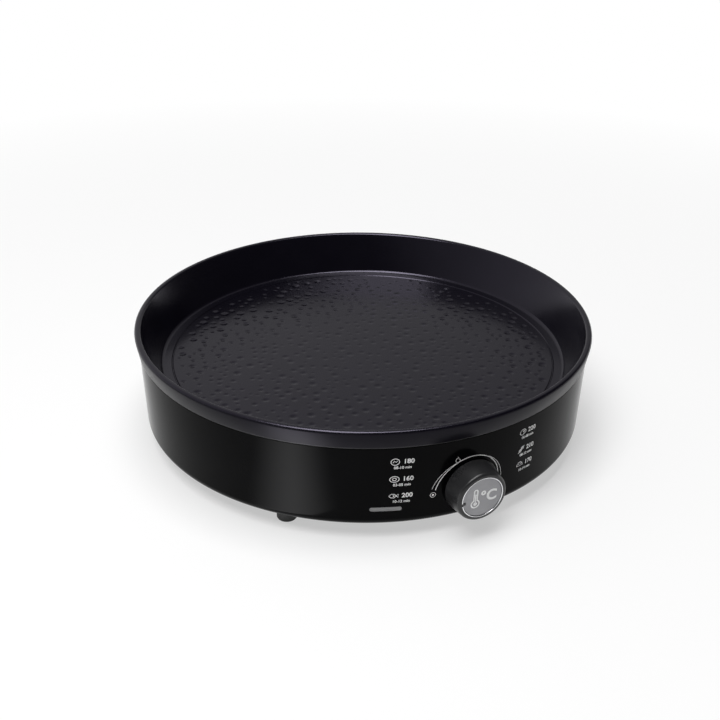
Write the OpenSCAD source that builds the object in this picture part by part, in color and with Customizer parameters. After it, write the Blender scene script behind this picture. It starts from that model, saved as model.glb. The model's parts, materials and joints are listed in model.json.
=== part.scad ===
// Round countertop electric skillet: a cast non-stick pan screwed down on a tapered
// housing, with a tubular heater, a capillary thermostat and one temperature knob.
// Millimetres, +Z up, knob towards -Y. The origin is on the table, under the middle of
// the overall box, so the pan's own axis stands a little behind it.

/* [Overall] */
// Diameter over the pan's rim
rim_d = 320; // [290:1:350]
// Height from the table to the top of the rim
overall_h = 80; // [75:0.5:92]
// Height of the housing's lower edge above the table
foot_h = 9; // [7:0.5:12]

/* [Pan] */
// Depth from the rim to the cooking floor
pan_depth = 29; // [24:0.5:32]
// Thickness of the cast wall and floor
pan_t = 3; // [2:0.25:4]
// Lean of the inner wall from vertical, in degrees
wall_flare = 24; // [12:1:30]
// Width of the rim's top
lip_w = 4; // [3.5:0.25:6]
// Rounding of the rim's two edges
lip_round = 1.4; // [0.6:0.1:1.6]
// Height of the plain band below the rim
band_h = 12; // [9:0.5:15]
// How much the band narrows towards its lower edge
band_taper = 1.9; // [0.5:0.1:2.5]
// Fillet where the wall meets the floor
floor_fillet = 3; // [1.5:0.25:5]
// Width of the plain ledge around the dimpled floor
ledge_w = 5.5; // [4:0.5:10]
// Width of the ring groove inside the ledge
groove_w = 1.4; // [0.8:0.1:2.5]
// Depth of the ring groove
groove_depth = 0.6; // [0.3:0.1:1]

/* [Housing] */
// Thickness of the housing wall
wall_t = 2; // [1.5:0.25:3]
// How much the housing narrows from top to bottom
wall_draft = 2.25; // [1:0.25:5]
// Inset of the housing's top edge from the band above it
housing_inset = 0.6; // [0.4:0.1:2]
// Rounding of the housing's lower edge
bottom_round = 7; // [4:0.25:8]
// Thickness of the silicone ring between pan and housing
seal_t = 0.6; // [0.4:0.1:1.2]
// Width of the inner ledge that the base cover is screwed to
base_ledge_w = 5; // [4:0.5:8]
// Thickness of that ledge
base_ledge_t = 2; // [1.5:0.25:3]

/* [Base] */
// Thickness of the base cover
cover_t = 1.6; // [1.2:0.1:2.4]
// Recess of the base cover above the housing's lower edge
cover_recess = 0.4; // [0.2:0.1:1]
// Foot diameter
foot_d = 13.2; // [10:0.2:16]
// Rounding of the foot's lower edge
foot_round = 1.8; // [0.8:0.1:2.4]
// Distance of a foot from the edge of the base cover
foot_edge = 0.3; // [0.2:0.1:6]
// Width of a vent slot
vent_w = 3; // [2:0.25:4]
// Length of a vent slot
vent_l = 34; // [20:1:40]
// Number of vent slots in each of the two fields
vent_count = 9; // [5:1:11]

/* [Heater] */
// Diameter of the heater tube
heater_d = 7; // [6:0.25:8]
// Gap between the heater ring's ends, in degrees
heater_gap = 44; // [36:1:60]
// Distance from the pan's posts in to the heater ring
heater_step = 16; // [14:0.5:22]
// Height of the posts under the pan
post_h = 10.4; // [9:0.2:12]
// Thickness of the heat shield
shield_t = 0.6; // [0.4:0.1:1]

/* [Knob and dial] */
// Distance from the pan's underside down to the knob's axis
knob_drop = 15.5; // [15:0.5:18]
// Length of the knob
knob_l = 14.5; // [13:0.5:20]
// Diameter of the knob at its back
knob_back_d = 37; // [32:0.5:42]
// Diameter of the knob at its front edge
knob_front_d = 34; // [33:0.2:36]
// Width of the bezel round the disc
bezel_w = 3.4; // [3:0.1:5]
// Gap between the knob's back and the housing
knob_gap = 1; // [0.6:0.1:2]
// Diameter of the control shaft
shaft_d = 6; // [5:0.25:7]

/* [Indicator lamp] */
// Position of the lamp window round the housing from the knob, in degrees
lens_az = -20; // [-26:0.5:-18]
// Height of the lamp window above the housing's lower edge
lens_rise = 13.5; // [10:0.5:16]
// Length of the lamp window
lens_l = 20; // [16:0.5:24]
// Height of the lamp window
lens_h = 2.8; // [2:0.1:4]

/* [Mains inlet] */
// Distance from the pan's underside down to the inlet's centre
inlet_drop = 16; // [15:0.5:18]
// Width of the inlet's flange
inlet_w = 50; // [48:0.5:56]
// Height of the inlet's flange
inlet_h = 26; // [24:0.5:30]
// Distance between the inlet's screws
inlet_screw_pitch = 40; // [38:0.5:42]

/* [Hidden] */
$fn = 96;
running_clear = 0.05; // radial clearance of the turning shaft
slip_clear = 0.1; // radial clearance of fasteners and pressed parts
fit_clear = 0.3; // clearance round housings and windows
screw_d = 3; // small screws
bolt_d = 4; // bolts that hold the base to the pan

// Heights
band_z = overall_h - band_h;
housing_top = band_z - seal_t;
floor_z = overall_h - pan_depth;
under_z = floor_z - pan_t;
knob_z = under_z - knob_drop;
inlet_z = under_z - inlet_drop;
lens_z = foot_h + lens_rise;
cover_z = foot_h + cover_recess;
cover_top = cover_z + cover_t;
shield_top = under_z - post_h;
shield_z = shield_top - shield_t;

// Radii from the pan's axis
rim_r = rim_d / 2;
lip_r = rim_r - lip_w;
band_low_r = rim_r - band_taper;
floor_r = lip_r - pan_depth * tan(wall_flare);
top_r = band_low_r - housing_inset;
base_r = top_r - wall_draft;
cover_r = base_r - bottom_round - fit_clear;
ledge_r = cover_r - base_ledge_w;
foot_r = cover_r - foot_edge - foot_d / 2;

function wall_r(z) = base_r + wall_draft * (z - foot_h) / (housing_top - foot_h);
function pan_out_r(z) = floor_r + (z - floor_z) * tan(wall_flare) + pan_t / cos(wall_flare);

// Thermostat, measured inwards along the knob's axis from the outside of the wall
knob_tilt = atan(wall_draft / (housing_top - foot_h));
mount_face = 10; // inner ends of the two mounting bosses
plate_t = 1.2;
thermostat_w = 26;
thermostat_h = 24;
thermostat_l = 22;
thermostat_end = mount_face + plate_t + thermostat_l;
thermostat_pitch = 34; // between its two screws
bushing_d = shaft_d + 3.4;
collar_d = shaft_d + 6;
collar_t = 3;
collar_gap = 0.4;
tab_l = 7; // length of a spade tab
tab_w = 6.3;
tab_t = 0.8;
tab_pitch = 14;
tab_drop = 4; // tabs below the knob axis

// Heater and its carriers
shield_edge = 3; // clear space between the thermostat and the heat shield
shield_r = wall_r(knob_z) - thermostat_end - shield_edge;
post_d = 11;
post_inset = 11; // post centres from the edge of the heat shield
post_r = shield_r - post_inset;
heater_r = post_r - heater_step;
heater_clear = 0.15;
heater_web = 0.5;
boss_h = heater_d / 2 + heater_clear + heater_web;
heater_drop = 0.3; // tube centre below the boss's face
heater_z = under_z - boss_h - heater_drop;
boss_half = 11.5; // half width of the heater boss
bend_r = 12; // heater's elbows
leg_l = 5;
leg_z = heater_z - bend_r - leg_l;
lead_d = 2.6;
lead_bend = 2.4; // drop of a lead below a heater pin
low_z = cover_top + lead_d; // height of the leads that run along the base
pin_d = 2.6;
pin_l = min(9, leg_z - low_z - lead_bend - lead_d / 2);
bead_d = 9;
bead_h = 4;
tap_h = (pin_l - bead_h) / 2; // where the lamp leads join a pin, above its end
clip_t = 1;
clip_w = 9;
clip_screw_x = 8; // clip screws from the middle of the tube they hold
clip_azimuths = [0, 75, 150, 210, 285];

// Sensor bulb and thermal fuse lie outside the heat shield, under the pan
side_r = shield_r + 11;
bulb_d = 6;
bulb_l = 46;
bulb_az = 52;
fuse_d = 4.6;
fuse_l = 38;
fuse_az = -62;
side_boss_h = 2;
side_z = under_z - side_boss_h;

// Fasteners
bolt_azimuths = [45, 135, 225, 315];
cover_screw_azimuths = [72, 108, 252, 288];
cover_boss_d = 8;
cover_boss_h = 9;
cover_screw_r = ledge_r + cover_boss_d / 4;
foot_boss_d = 9;
foot_boss_h = 6;
spacer_d = 9; // across the corners of a hexagonal spacer
stud_l = 7;
bolt_grip = 8; // length of a bolt inside its spacer
bolt_hole_l = 10;
foot_bore_d = 6.4; // recess for the foot screw's head
foot_bore_h = 4;
earth_az = 153; // earth boss under the pan, at the edge of the heat shield
earth_r = shield_r + 1.2;
earth_xy = earth_r * [sin(earth_az), -cos(earth_az)];
earth_boss_h = 6;
earth_hole_d = 16; // clear space for it in the heat shield
earth_tag = 10; // length of the ring tag on the earth lead
earth_z = under_z - earth_boss_h - clip_t / 2;

// Knob
knob_back = knob_gap;
knob_face = knob_back + knob_l;
knob_wall = 2;
disc_d = knob_front_d - 2 * bezel_w;
knob_edge = 2.2; // rounding of the front edge
disc_recess = 1.5;
ring_w = 0.8;
disc_t = 1;
disc_pocket_d = disc_d + 2 * ring_w + 2 * slip_clear;
hub_d = shaft_d + 5;
clip_ring_t = 0.6;
pointer_w = 2;
bore_floor = 3; // closed end of the knob's bore, behind the disc
shaft_reach = knob_face - disc_recess - bore_floor;
shaft_seat = 3; // closed end of the shaft's bore in the thermostat
shaft_end_gap = 0.5;
flat_depth = 1.5;
flat_l = shaft_reach - knob_back - 1.5;
off_angle = 188; // dial angle of the off position, anticlockwise from three o'clock

// Lamp window
lens_proud = 0.25;
lens_flange = 1.2;
lens_flange_u = wall_t + 0.8;
lamp_d = 5;
lamp_l = 16;
holder_depth = 11;
lamp_back = lens_flange_u + lens_flange + holder_depth;
holder_wall = 1.2;
holder_h = lamp_d + 2 * holder_wall + 1;
holder_w = lens_l + 6;
rib_t = 1.6;
rib_depth = 7;

// Mains inlet
inlet_pad_margin = 2;
inlet_pad_t = 5;
inlet_flange_t = 3;
inlet_body_w = 28;
inlet_body_h = 20;
inlet_body_l = 20;
socket_w = 24.6;
socket_h = 16.8;
socket_depth = 17;
socket_chamfer = 4.5;
blade_pitch = 14;
blade_h = 4;
blade_t = 2;
blade_l = 11.5;
earth_lift = 4;
blade_places = [[-blade_pitch / 2, -1], [blade_pitch / 2, -1], [0, earth_lift - 1]];
inlet_y = sqrt(pow(wall_r(inlet_z), 2) - pow(inlet_w / 2, 2));

// The pan's axis, moved back so that the origin is in the middle of the overall box
knob_reach = wall_r(knob_z) + (knob_face - knob_edge) * cos(knob_tilt)
    + (knob_front_d / 2 - knob_edge) * sin(knob_tilt) + knob_edge;
axis_y = (knob_reach - rim_r) / 2;

// Points in space: on the housing wall's axes, along the side circle, at a heater pin, at an inlet blade
function wall_point(a, z, x, y, u) =
    let (out = wall_r(z) + u * cos(knob_tilt) + y * sin(knob_tilt))
    [x * cos(a) + out * sin(a), x * sin(a) - out * cos(a), z - u * sin(knob_tilt) + y * cos(knob_tilt)];
function side_point(a, along, z) = [along * cos(a) + side_r * sin(a), along * sin(a) - side_r * cos(a), z];
function pin_point(side, dx, dz, dy = 0) =
    let (a = 180 + side * heater_gap / 2, bend = side * bend_r)
    [heater_r * sin(a) - bend * cos(a) + dx, -heater_r * cos(a) - bend * sin(a) + dy, leg_z - pin_l + dz];
function blade_point(i, back) =
    [-blade_places[i][0], inlet_y - inlet_body_l - tab_l - back, inlet_z + blade_places[i][1]];
function tab_point(side, back) =
    wall_point(0, knob_z, side * tab_pitch / 2, -tab_drop, -thermostat_end - tab_l - back);
function bulb_end(back) = side_point(bulb_az, -bulb_l / 2 - back, side_z - bulb_d / 2 - slip_clear);
function fuse_end(side, back) =
    side_point(fuse_az, side * (fuse_l / 2 + back), side_z - fuse_d / 2 - slip_clear);

// Routes of the inner leads and the capillary: their ends follow what they join
joint_gap = 0.3; // between a lead's end and what it joins
lamp_lead_d = 1.6;
capillary_d = 1.8;
straight_l = 6; // straight start of each lead
capillary_lift = 4; // capillary's exit above the knob axis
capillary_back = 25; // and inwards along it
capillary_z = knob_z + capillary_lift + 2;
function capillary_exit(out) =
    wall_point(0, knob_z, thermostat_w / 2 + out, capillary_lift, -capillary_back);
function lamp_point(x, back) = wall_point(lens_az, lens_z, x, 0, -lamp_back - back);
function polar_point(r, a, z) = [r * sin(a), -r * cos(a), z];
capillary_route = [
    capillary_exit(joint_gap), capillary_exit(straight_l), polar_point(side_r + 4, 18, capillary_z),
    polar_point(side_r + 4, 29, capillary_z + 3), bulb_end(straight_l + 1), bulb_end(joint_gap)];
live_route = [
    blade_point(1, joint_gap), blade_point(1, straight_l), polar_point(side_r - 14, -169, inlet_z - 9),
    polar_point(side_r - 9, -150, low_z + 5), polar_point(side_r - 4, -130, low_z + 5),
    polar_point(side_r - 3, -110, low_z + 7), polar_point(side_r - 2, -90, shield_z - 8),
    polar_point(side_r + 1, -80, shield_z + 2), fuse_end(-1, straight_l), fuse_end(-1, joint_gap)];
fuse_route = [
    fuse_end(1, joint_gap), fuse_end(1, straight_l), polar_point(side_r + 1, -41, shield_z),
    polar_point(side_r - 5, -30, knob_z - 1), polar_point(side_r - 14, -20, knob_z - 4),
    polar_point(shield_r - 15, -10, knob_z - 2), tab_point(-1, straight_l), tab_point(-1, joint_gap)];
heater_route = [
    tab_point(1, joint_gap), tab_point(1, straight_l), polar_point(post_r - 18, 6, low_z + 7),
    polar_point(50, 5, low_z), [-8, 0, low_z], [-18, 50, low_z], pin_point(1, 0.8, -lead_bend - 1.6, -8),
    pin_point(1, 0, -lead_bend), pin_point(1, 0, -joint_gap)];
neutral_route = [
    blade_point(0, joint_gap), blade_point(0, straight_l), polar_point(shield_r - 7, 172, low_z + 7),
    polar_point(shield_r - 16, 164.6, low_z), pin_point(-1, 2.6, -lead_bend - 1.4, 3.4),
    pin_point(-1, 0, -lead_bend), pin_point(-1, 0, -joint_gap)];
earth_route = [
    blade_point(2, joint_gap), blade_point(2, straight_l), polar_point(shield_r, 173, shield_z - 4),
    polar_point(side_r - 2, 164, shield_z - 3), polar_point(side_r + 5, 159, shield_z + 1),
    concat(earth_xy + [0, earth_tag + 5], earth_z), concat(earth_xy + [0, earth_tag + joint_gap], earth_z)];
lamp_routes = [
    [lamp_point(6, joint_gap), lamp_point(6, straight_l), polar_point(post_r + 8, -22, low_z + 2),
     [-44, -60, low_z], [-44, 0, low_z], [-42, 50, low_z + 1], pin_point(1, -13, 1), pin_point(1, -7, tap_h),
     pin_point(1, -pin_d / 2 - joint_gap, tap_h)],
    [lamp_point(-6, joint_gap), lamp_point(-6, straight_l), polar_point(post_r + 8, -29, low_z + 2),
     [-54, -60, low_z], [-53, 0, low_z], [-51, 50, low_z + 1], polar_point(shield_r - 22, -152, low_z + 4),
     polar_point(shield_r - 15, -163, low_z + 5), polar_point(shield_r - 18, 177, low_z + 5),
     pin_point(-1, -12, 2.5), pin_point(-1, -6, tap_h),
     pin_point(-1, -pin_d / 2 - joint_gap, tap_h)]];

// Places

// Children stand at azimuth a, counted from the knob towards +X, with -Y outwards
module at_azimuth(a) { rotate([0, 0, a]) children(); }

// Children's +Z points out of the housing wall at azimuth a and height z, +Y up the wall
module on_wall(a, z) {
    at_azimuth(a) translate([0, -wall_r(z), z]) rotate([90 + knob_tilt, 0, 0]) children();
}

// Children's +Z points along the knob's axis, out of the housing
module on_knob_axis() { on_wall(0, knob_z) children(); }

// Children's +Z points out of the flat at the back, where the inlet sits
module on_inlet() { translate([0, inlet_y, inlet_z]) rotate([90, 0, 180]) children(); }

// Children's +Y lies along the tangent at azimuth a and radius r, +X outwards
module on_circle(a, r, z) { at_azimuth(a) translate([0, -r, z]) rotate([0, 0, -90]) children(); }

// Shapes

function arc(c, r, a0, a1, n = 8) =
    [for (i = [0:n]) let (a = a0 + (a1 - a0) * i / n) c + r * [cos(a), sin(a)]];

// A bar with round ends, centred, along X
module slot_2d(l, w) {
    straight = (l - w) / 2;
    polygon(concat(arc([straight, 0], w / 2, -90, 90), arc([-straight, 0], w / 2, 90, 270)));
}

// A rectangle with cut corners
module chamfered_2d(w, h, c) {
    polygon([[-w / 2 + c, -h / 2], [w / 2 - c, -h / 2], [w / 2, -h / 2 + c], [w / 2, h / 2 - c],
             [w / 2 - c, h / 2], [-w / 2 + c, h / 2], [-w / 2, h / 2 - c], [-w / 2, -h / 2 + c]]);
}

// A pan head screw with a cross slot: the shank goes up from z = 0, the head hangs below
module screw(d, l) {
    head_d = 1.85 * d;
    head_h = 0.65 * d;
    difference() {
        union() {
            translate([0, 0, -head_h]) cylinder(d = head_d, h = head_h);
            translate([0, 0, -head_h / 2]) cylinder(d = d, h = l + head_h / 2);
        }
        for (turn = [0, 90]) rotate([0, 0, turn])
            translate([-head_d / 3, -d / 10, -head_h - 1]) cube([2 * head_d / 3, d / 5, 1 + head_h / 2]);
    }
}

// The hole a small screw goes through or into
module screw_hole(l) { cylinder(d = screw_d + 2 * slip_clear, h = l); }

// A saddle clip over a tube along Y. The tab's upper face is at z = 0, the tube's centre at -drop
module saddle_clip(tube_d, drop, w) {
    r_in = tube_d / 2 + slip_clear;
    r_out = r_in + clip_t;
    tab_end = clip_screw_x + screw_d + 0.5;
    difference() {
        translate([0, w / 2, 0]) rotate([90, 0, 0]) linear_extrude(w)
            polygon(concat([[tab_end, 0], [r_in, 0]], arc([0, -drop], r_in, 0, -180, 12),
                           [[-r_in, 0], [-r_out, 0]], arc([0, -drop], r_out, 180, 360, 12),
                           [[r_out, -clip_t], [tab_end, -clip_t]]));
        translate([clip_screw_x, 0, -clip_t - 1]) screw_hole(clip_t + 2);
    }
}

function unit(v) = v / norm(v);

// Point at share t between p1 and p2 of a smooth curve through p0 to p3
function curve_point(p0, p1, p2, p3, t) =
    0.5 * (2 * p1 + (p2 - p0) * t + (2 * p0 - 5 * p1 + 4 * p2 - p3) * t * t
           + (3 * p1 - p0 - 3 * p2 + p3) * t * t * t);

// A smooth curve through the route's points, with n steps between neighbours
function smooth_route(p, n) = concat(
    [for (i = [0:len(p) - 2]) for (k = [0:n - 1])
        curve_point(p[max(i - 1, 0)], p[i], p[i + 1], p[min(i + 2, len(p) - 1)], k / n)],
    [p[len(p) - 1]]);

// Directions along a path; its two ends keep the directions given
function path_tangents(p, first, last) = concat(
    [unit(first)], [for (i = [1:len(p) - 2]) unit(p[i + 1] - p[i - 1])], [unit(last)]);

// Side vectors along the path that turn as little as possible
function path_sides(tangents, i, last) = i == len(tangents) ? [] :
    let (t = tangents[i], s = unit(last - t * (last * t))) concat([s], path_sides(tangents, i + 1, s));

// A round lead of diameter d along the route
module lead(route, d, sides = 8, steps = 4) {
    path = smooth_route(route, steps);
    n = len(route) - 1;
    tangent = path_tangents(path, route[1] - route[0], route[n] - route[n - 1]);
    side = path_sides(tangent, 0, abs(tangent[0][2]) < 0.8 ? [0, 0, 1] : [1, 0, 0]);
    last = len(path) - 1;
    points = [for (i = [0:last]) let (b = cross(tangent[i], side[i])) for (k = [0:sides - 1])
        let (a = 360 * k / sides) path[i] + d / 2 * (cos(a) * side[i] + sin(a) * b)];
    walls = [for (i = [0:last - 1]) for (k = [0:sides - 1])
        let (a = i * sides + k, b = i * sides + (k + 1) % sides)
        each [[a, a + sides, b], [b, a + sides, b + sides]]];
    ends = [[for (k = [0:sides - 1]) k], [for (k = [sides - 1:-1:0]) last * sides + k]];
    polyhedron(points, concat(walls, ends));
}

// Pan and seal

// Half section of the cast pan, from the middle of the floor round to the underside
function pan_section() =
    let (fillet_c = [floor_r - floor_fillet * tan((90 - wall_flare) / 2), floor_z + floor_fillet],
         lip_c_in = [lip_r + lip_round * tan((90 - wall_flare) / 2), overall_h - lip_round],
         band_lean = atan(band_taper / (band_h - lip_round)),
         lip_c_out = [rim_r - lip_round, overall_h - lip_round],
         groove_r = fillet_c[0] - ledge_w)
    concat([[0, under_z], [0, floor_z], [groove_r - groove_w / 2, floor_z],
            [groove_r, floor_z - groove_depth], [groove_r + groove_w / 2, floor_z]],
           arc(fillet_c, floor_fillet, -90, -wall_flare),
           arc(lip_c_in, lip_round, 180 - wall_flare, 90),
           arc(lip_c_out, lip_round, 90, -band_lean),
           [[band_low_r, band_z], [pan_out_r(band_z), band_z]],
           arc(fillet_c, floor_fillet + pan_t, -wall_flare, -90));

module pan() color([0.16, 0.15, 0.17]) {
    sink = 1; // how far the cast bosses run into the floor
    side_boss_d = 9;
    difference() {
        union() {
            rotate_extrude() polygon(pan_section());
            rotate_extrude() translate([heater_r - boss_half, under_z - boss_h])
                square([2 * boss_half, boss_h + sink]);
            for (a = bolt_azimuths) at_azimuth(a)
                translate([0, -post_r, shield_top]) cylinder(d = post_d, h = post_h + sink);
            for (a = [bulb_az, fuse_az]) on_circle(a, side_r, side_z)
                translate([clip_screw_x, 0, 0]) cylinder(d = side_boss_d, h = side_boss_h + sink);
            translate(concat(earth_xy, under_z - earth_boss_h))
                cylinder(d = side_boss_d, h = earth_boss_h + sink);
        }
        rotate_extrude() translate([heater_r, heater_z]) circle(d = heater_d + 2 * heater_clear);
        for (a = bolt_azimuths) at_azimuth(a)
            translate([0, -post_r, shield_top - 1]) cylinder(d = bolt_d + 2 * slip_clear, h = stud_l + 2);
        for (a = clip_azimuths) on_circle(a, heater_r, under_z - boss_h)
            translate([clip_screw_x, 0, -1]) screw_hole(boss_h + 1);
        for (a = [bulb_az, fuse_az]) on_circle(a, side_r, side_z)
            translate([clip_screw_x, 0, -1]) screw_hole(side_boss_h + 2);
        translate(concat(earth_xy, under_z - earth_boss_h - 1)) screw_hole(earth_boss_h + 1);
    }
}

module pan_seal() color([0.05, 0.05, 0.05])
    rotate_extrude() translate([top_r - wall_t - 0.4, housing_top]) square([wall_t + 0.6, seal_t]);

// Housing

// Half section of the shell, from its lower edge up the outside and back down the inside
function housing_section() =
    let (edge_c = [wall_r(foot_h + bottom_round) - bottom_round / cos(knob_tilt), foot_h + bottom_round])
    concat(arc(edge_c, bottom_round, -90, -knob_tilt),
           [[top_r, housing_top], [top_r - wall_t, housing_top],
            [wall_r(cover_top + base_ledge_t) - wall_t, cover_top + base_ledge_t],
            [ledge_r, cover_top + base_ledge_t], [ledge_r, cover_top],
            [cover_r + fit_clear, cover_top], [cover_r + fit_clear, foot_h]]);

// Everything inside the housing's outer surface, grown outwards by the given amount
module inside_wall(grow = 0) {
    rotate_extrude()
        polygon([[0, foot_h], [base_r + grow, foot_h], [top_r + grow, housing_top], [0, housing_top]]);
}

module housing() color([0.03, 0.03, 0.03]) difference() {
    union() {
        rotate_extrude() polygon(housing_section());
        intersection() {
            inside_wall(-wall_t / 2);
            union() {
                for (side = [-1, 1]) on_knob_axis()
                    translate([side * thermostat_pitch / 2, 0, -mount_face]) cylinder(d = 9, h = mount_face);
                for (a = cover_screw_azimuths) at_azimuth(a)
                    translate([0, -cover_screw_r, cover_top]) cylinder(d = cover_boss_d, h = cover_boss_h);
                for (side = [-1, 1]) on_wall(lens_az, lens_z)
                    translate([side * (holder_w + rib_t + 2 * fit_clear) / 2, 0, -wall_t - rib_depth])
                        linear_extrude(wall_t + rib_depth) square([rib_t, holder_h], center = true);
                on_inlet() translate([0, 0, -inlet_pad_t]) linear_extrude(inlet_pad_t + 10)
                    square([inlet_w + 2 * inlet_pad_margin, inlet_h + 2 * inlet_pad_margin], center = true);
            }
        }
    }
    on_knob_axis() translate([0, 0, -mount_face]) cylinder(d = bushing_d + 2 * fit_clear, h = mount_face + 5);
    for (side = [-1, 1]) on_knob_axis() translate([side * thermostat_pitch / 2, 0, -mount_face - 1])
        screw_hole(mount_face - wall_t);
    for (a = cover_screw_azimuths) at_azimuth(a) translate([0, -cover_screw_r, cover_top - 1])
        screw_hole(cover_boss_h);
    for (a = bolt_azimuths) at_azimuth(a) translate([0, -foot_r, cover_top - 1])
        cylinder(d = foot_boss_d + 2 * fit_clear, h = base_ledge_t + 2);
    on_wall(lens_az, lens_z) translate([0, 0, -5])
        linear_extrude(10) slot_2d(lens_l + 2 * slip_clear, lens_h + 2 * slip_clear);
    on_inlet() {
        linear_extrude(20) square([inlet_w + 2 * fit_clear, inlet_h + 2 * fit_clear], center = true);
        translate([0, 0, -20]) linear_extrude(21)
            square([inlet_body_w + 2 * fit_clear, inlet_body_h + 2 * fit_clear], center = true);
        for (side = [-1, 1]) translate([side * inlet_screw_pitch / 2, 0, -10])
            screw_hole(20);
    }
}

// Base cover, feet and the fasteners that hold the base

module base_cover() color([0.06, 0.06, 0.06]) {
    vent_pitch = 2.2 * vent_w;
    vent_x = 70; // middle of a vent field from the axis
    difference() {
        union() {
            translate([0, 0, cover_z]) cylinder(r = cover_r, h = cover_t);
            for (a = bolt_azimuths) at_azimuth(a)
                translate([0, -foot_r, cover_z]) cylinder(d = foot_boss_d, h = cover_t + foot_boss_h);
        }
        for (a = bolt_azimuths) at_azimuth(a) {
            translate([0, -foot_r, cover_z - 1]) screw_hole(cover_t + foot_boss_h);
            translate([0, -post_r, cover_z - 1]) cylinder(d = bolt_d + 2 * slip_clear, h = cover_t + 2);
        }
        for (a = cover_screw_azimuths) at_azimuth(a)
            translate([0, -cover_screw_r, cover_z - 1]) screw_hole(cover_t + 2);
        for (side = [-1, 1]) for (i = [0:vent_count - 1])
            translate([side * vent_x, (i - (vent_count - 1) / 2) * vent_pitch, cover_z - 1])
                linear_extrude(cover_t + 2) slot_2d(vent_l, vent_w);
    }
}

module foot(a) color([0.07, 0.07, 0.07]) at_azimuth(a) translate([0, -foot_r, 0]) {
    bore_r = screw_d / 2 + slip_clear;
    round_c = [foot_d / 2 - foot_round, foot_round];
    rotate_extrude() polygon(concat(
        [[foot_bore_d / 2, 0]], arc(round_c, foot_round, -90, 0),
        [[foot_d / 2, cover_z], [bore_r, cover_z], [bore_r, foot_bore_h], [foot_bore_d / 2, foot_bore_h]]));
}

module foot_screws() color("silver") for (a = bolt_azimuths) at_azimuth(a)
    translate([0, -foot_r, foot_bore_h]) screw(screw_d, cover_top - foot_bore_h + foot_boss_h - 2);

module cover_screws() color("silver") for (a = cover_screw_azimuths) at_azimuth(a)
    translate([0, -cover_screw_r, cover_z]) screw(screw_d, cover_t + cover_boss_h - 3);

module base_bolts() color("silver") for (a = bolt_azimuths) at_azimuth(a)
    translate([0, -post_r, cover_z]) screw(bolt_d, cover_t + bolt_grip);

// Hexagonal spacers: a stud screws up into the pan's post, a bolt comes up from the base
module spacers() color("lightgray") for (a = bolt_azimuths) at_azimuth(a) translate([0, -post_r, cover_top])
    difference() {
        spacer_l = shield_z - cover_top;
        union() {
            cylinder(d = spacer_d, h = spacer_l, $fn = 6);
            translate([0, 0, spacer_l - 1]) cylinder(d = bolt_d, h = shield_t + stud_l + 1);
        }
        translate([0, 0, -1]) cylinder(d = bolt_d + 2 * slip_clear, h = bolt_hole_l + 1);
    }

// Heater

module heater_tube() color([0.45, 0.44, 0.42]) translate([0, 0, heater_z]) {
    // The ring's open side is at the back; each end turns down through the heat shield
    rotate([0, 0, 90 + heater_gap / 2]) rotate_extrude(angle = 360 - heater_gap)
        translate([heater_r, 0]) circle(d = heater_d);
    for (side = [-1, 1]) heater_end(side) {
        translate([0, 0, -bend_r]) rotate([90, 0, 90]) rotate_extrude(angle = 90)
            translate([bend_r, 0]) circle(d = heater_d);
        translate([0, bend_r, -bend_r - leg_l]) cylinder(d = heater_d, h = leg_l);
    }
}

// The ring's end on one side, with +Y along the tube towards the gap
module heater_end(side) {
    at_azimuth(180 + side * heater_gap / 2) translate([0, -heater_r, 0]) rotate([0, 0, side * 90]) children();
}

module heater_leg(side) { translate([0, 0, leg_z]) heater_end(side) translate([0, bend_r, 0]) children(); }

module heater_insulators() color("white") for (side = [-1, 1]) heater_leg(side) difference() {
    translate([0, 0, -bead_h]) cylinder(d = bead_d, h = bead_h);
    translate([0, 0, -bead_h - 1]) cylinder(d = pin_d + 2 * slip_clear, h = bead_h + 2);
}

module heater_terminals() color("silver") for (side = [-1, 1]) heater_leg(side)
    translate([0, 0, -pin_l]) cylinder(d = pin_d, h = pin_l);

module heater_clips() color("silver") for (a = clip_azimuths)
    on_circle(a, heater_r, under_z - boss_h) saddle_clip(heater_d, heater_drop, clip_w);

module heater_clip_screws() color("silver") for (a = clip_azimuths)
    on_circle(a, heater_r, under_z - boss_h - clip_t)
        translate([clip_screw_x, 0, 0]) screw(screw_d, boss_h - 0.5);

module heat_shield() color([0.75, 0.76, 0.78]) {
    rim_h = 4;
    leg_hole_d = heater_d + 7;
    difference() {
        rotate_extrude()
            polygon([[0, shield_z], [shield_r, shield_z], [shield_r, shield_top + rim_h],
                     [shield_r - shield_t, shield_top + rim_h], [shield_r - shield_t, shield_top],
                     [0, shield_top]]);
        for (a = bolt_azimuths) at_azimuth(a)
            translate([0, -post_r, shield_z - 1]) cylinder(d = bolt_d + 2 * slip_clear, h = shield_t + 2);
        for (side = [-1, 1]) heater_leg(side) translate([0, 0, -50]) cylinder(d = leg_hole_d, h = 100);
        translate(concat(earth_xy, shield_z - 1)) cylinder(d = earth_hole_d, h = rim_h + 4);
    }
}

// Thermostat

module thermostat_plate() color("silver") on_knob_axis() difference() {
    union() {
        translate([0, 0, -mount_face - plate_t]) linear_extrude(plate_t)
            chamfered_2d(thermostat_pitch + 10, thermostat_h, 3);
        translate([0, 0, -mount_face - plate_t / 2])
            cylinder(d = bushing_d, h = mount_face - wall_t + plate_t / 2);
    }
    translate([0, 0, -mount_face - plate_t - 1])
        cylinder(d = shaft_d + 2 * running_clear, h = mount_face + plate_t + 2);
    for (side = [-1, 1]) translate([side * thermostat_pitch / 2, 0, -mount_face - plate_t - 1])
        screw_hole(plate_t + 2);
}

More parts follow.
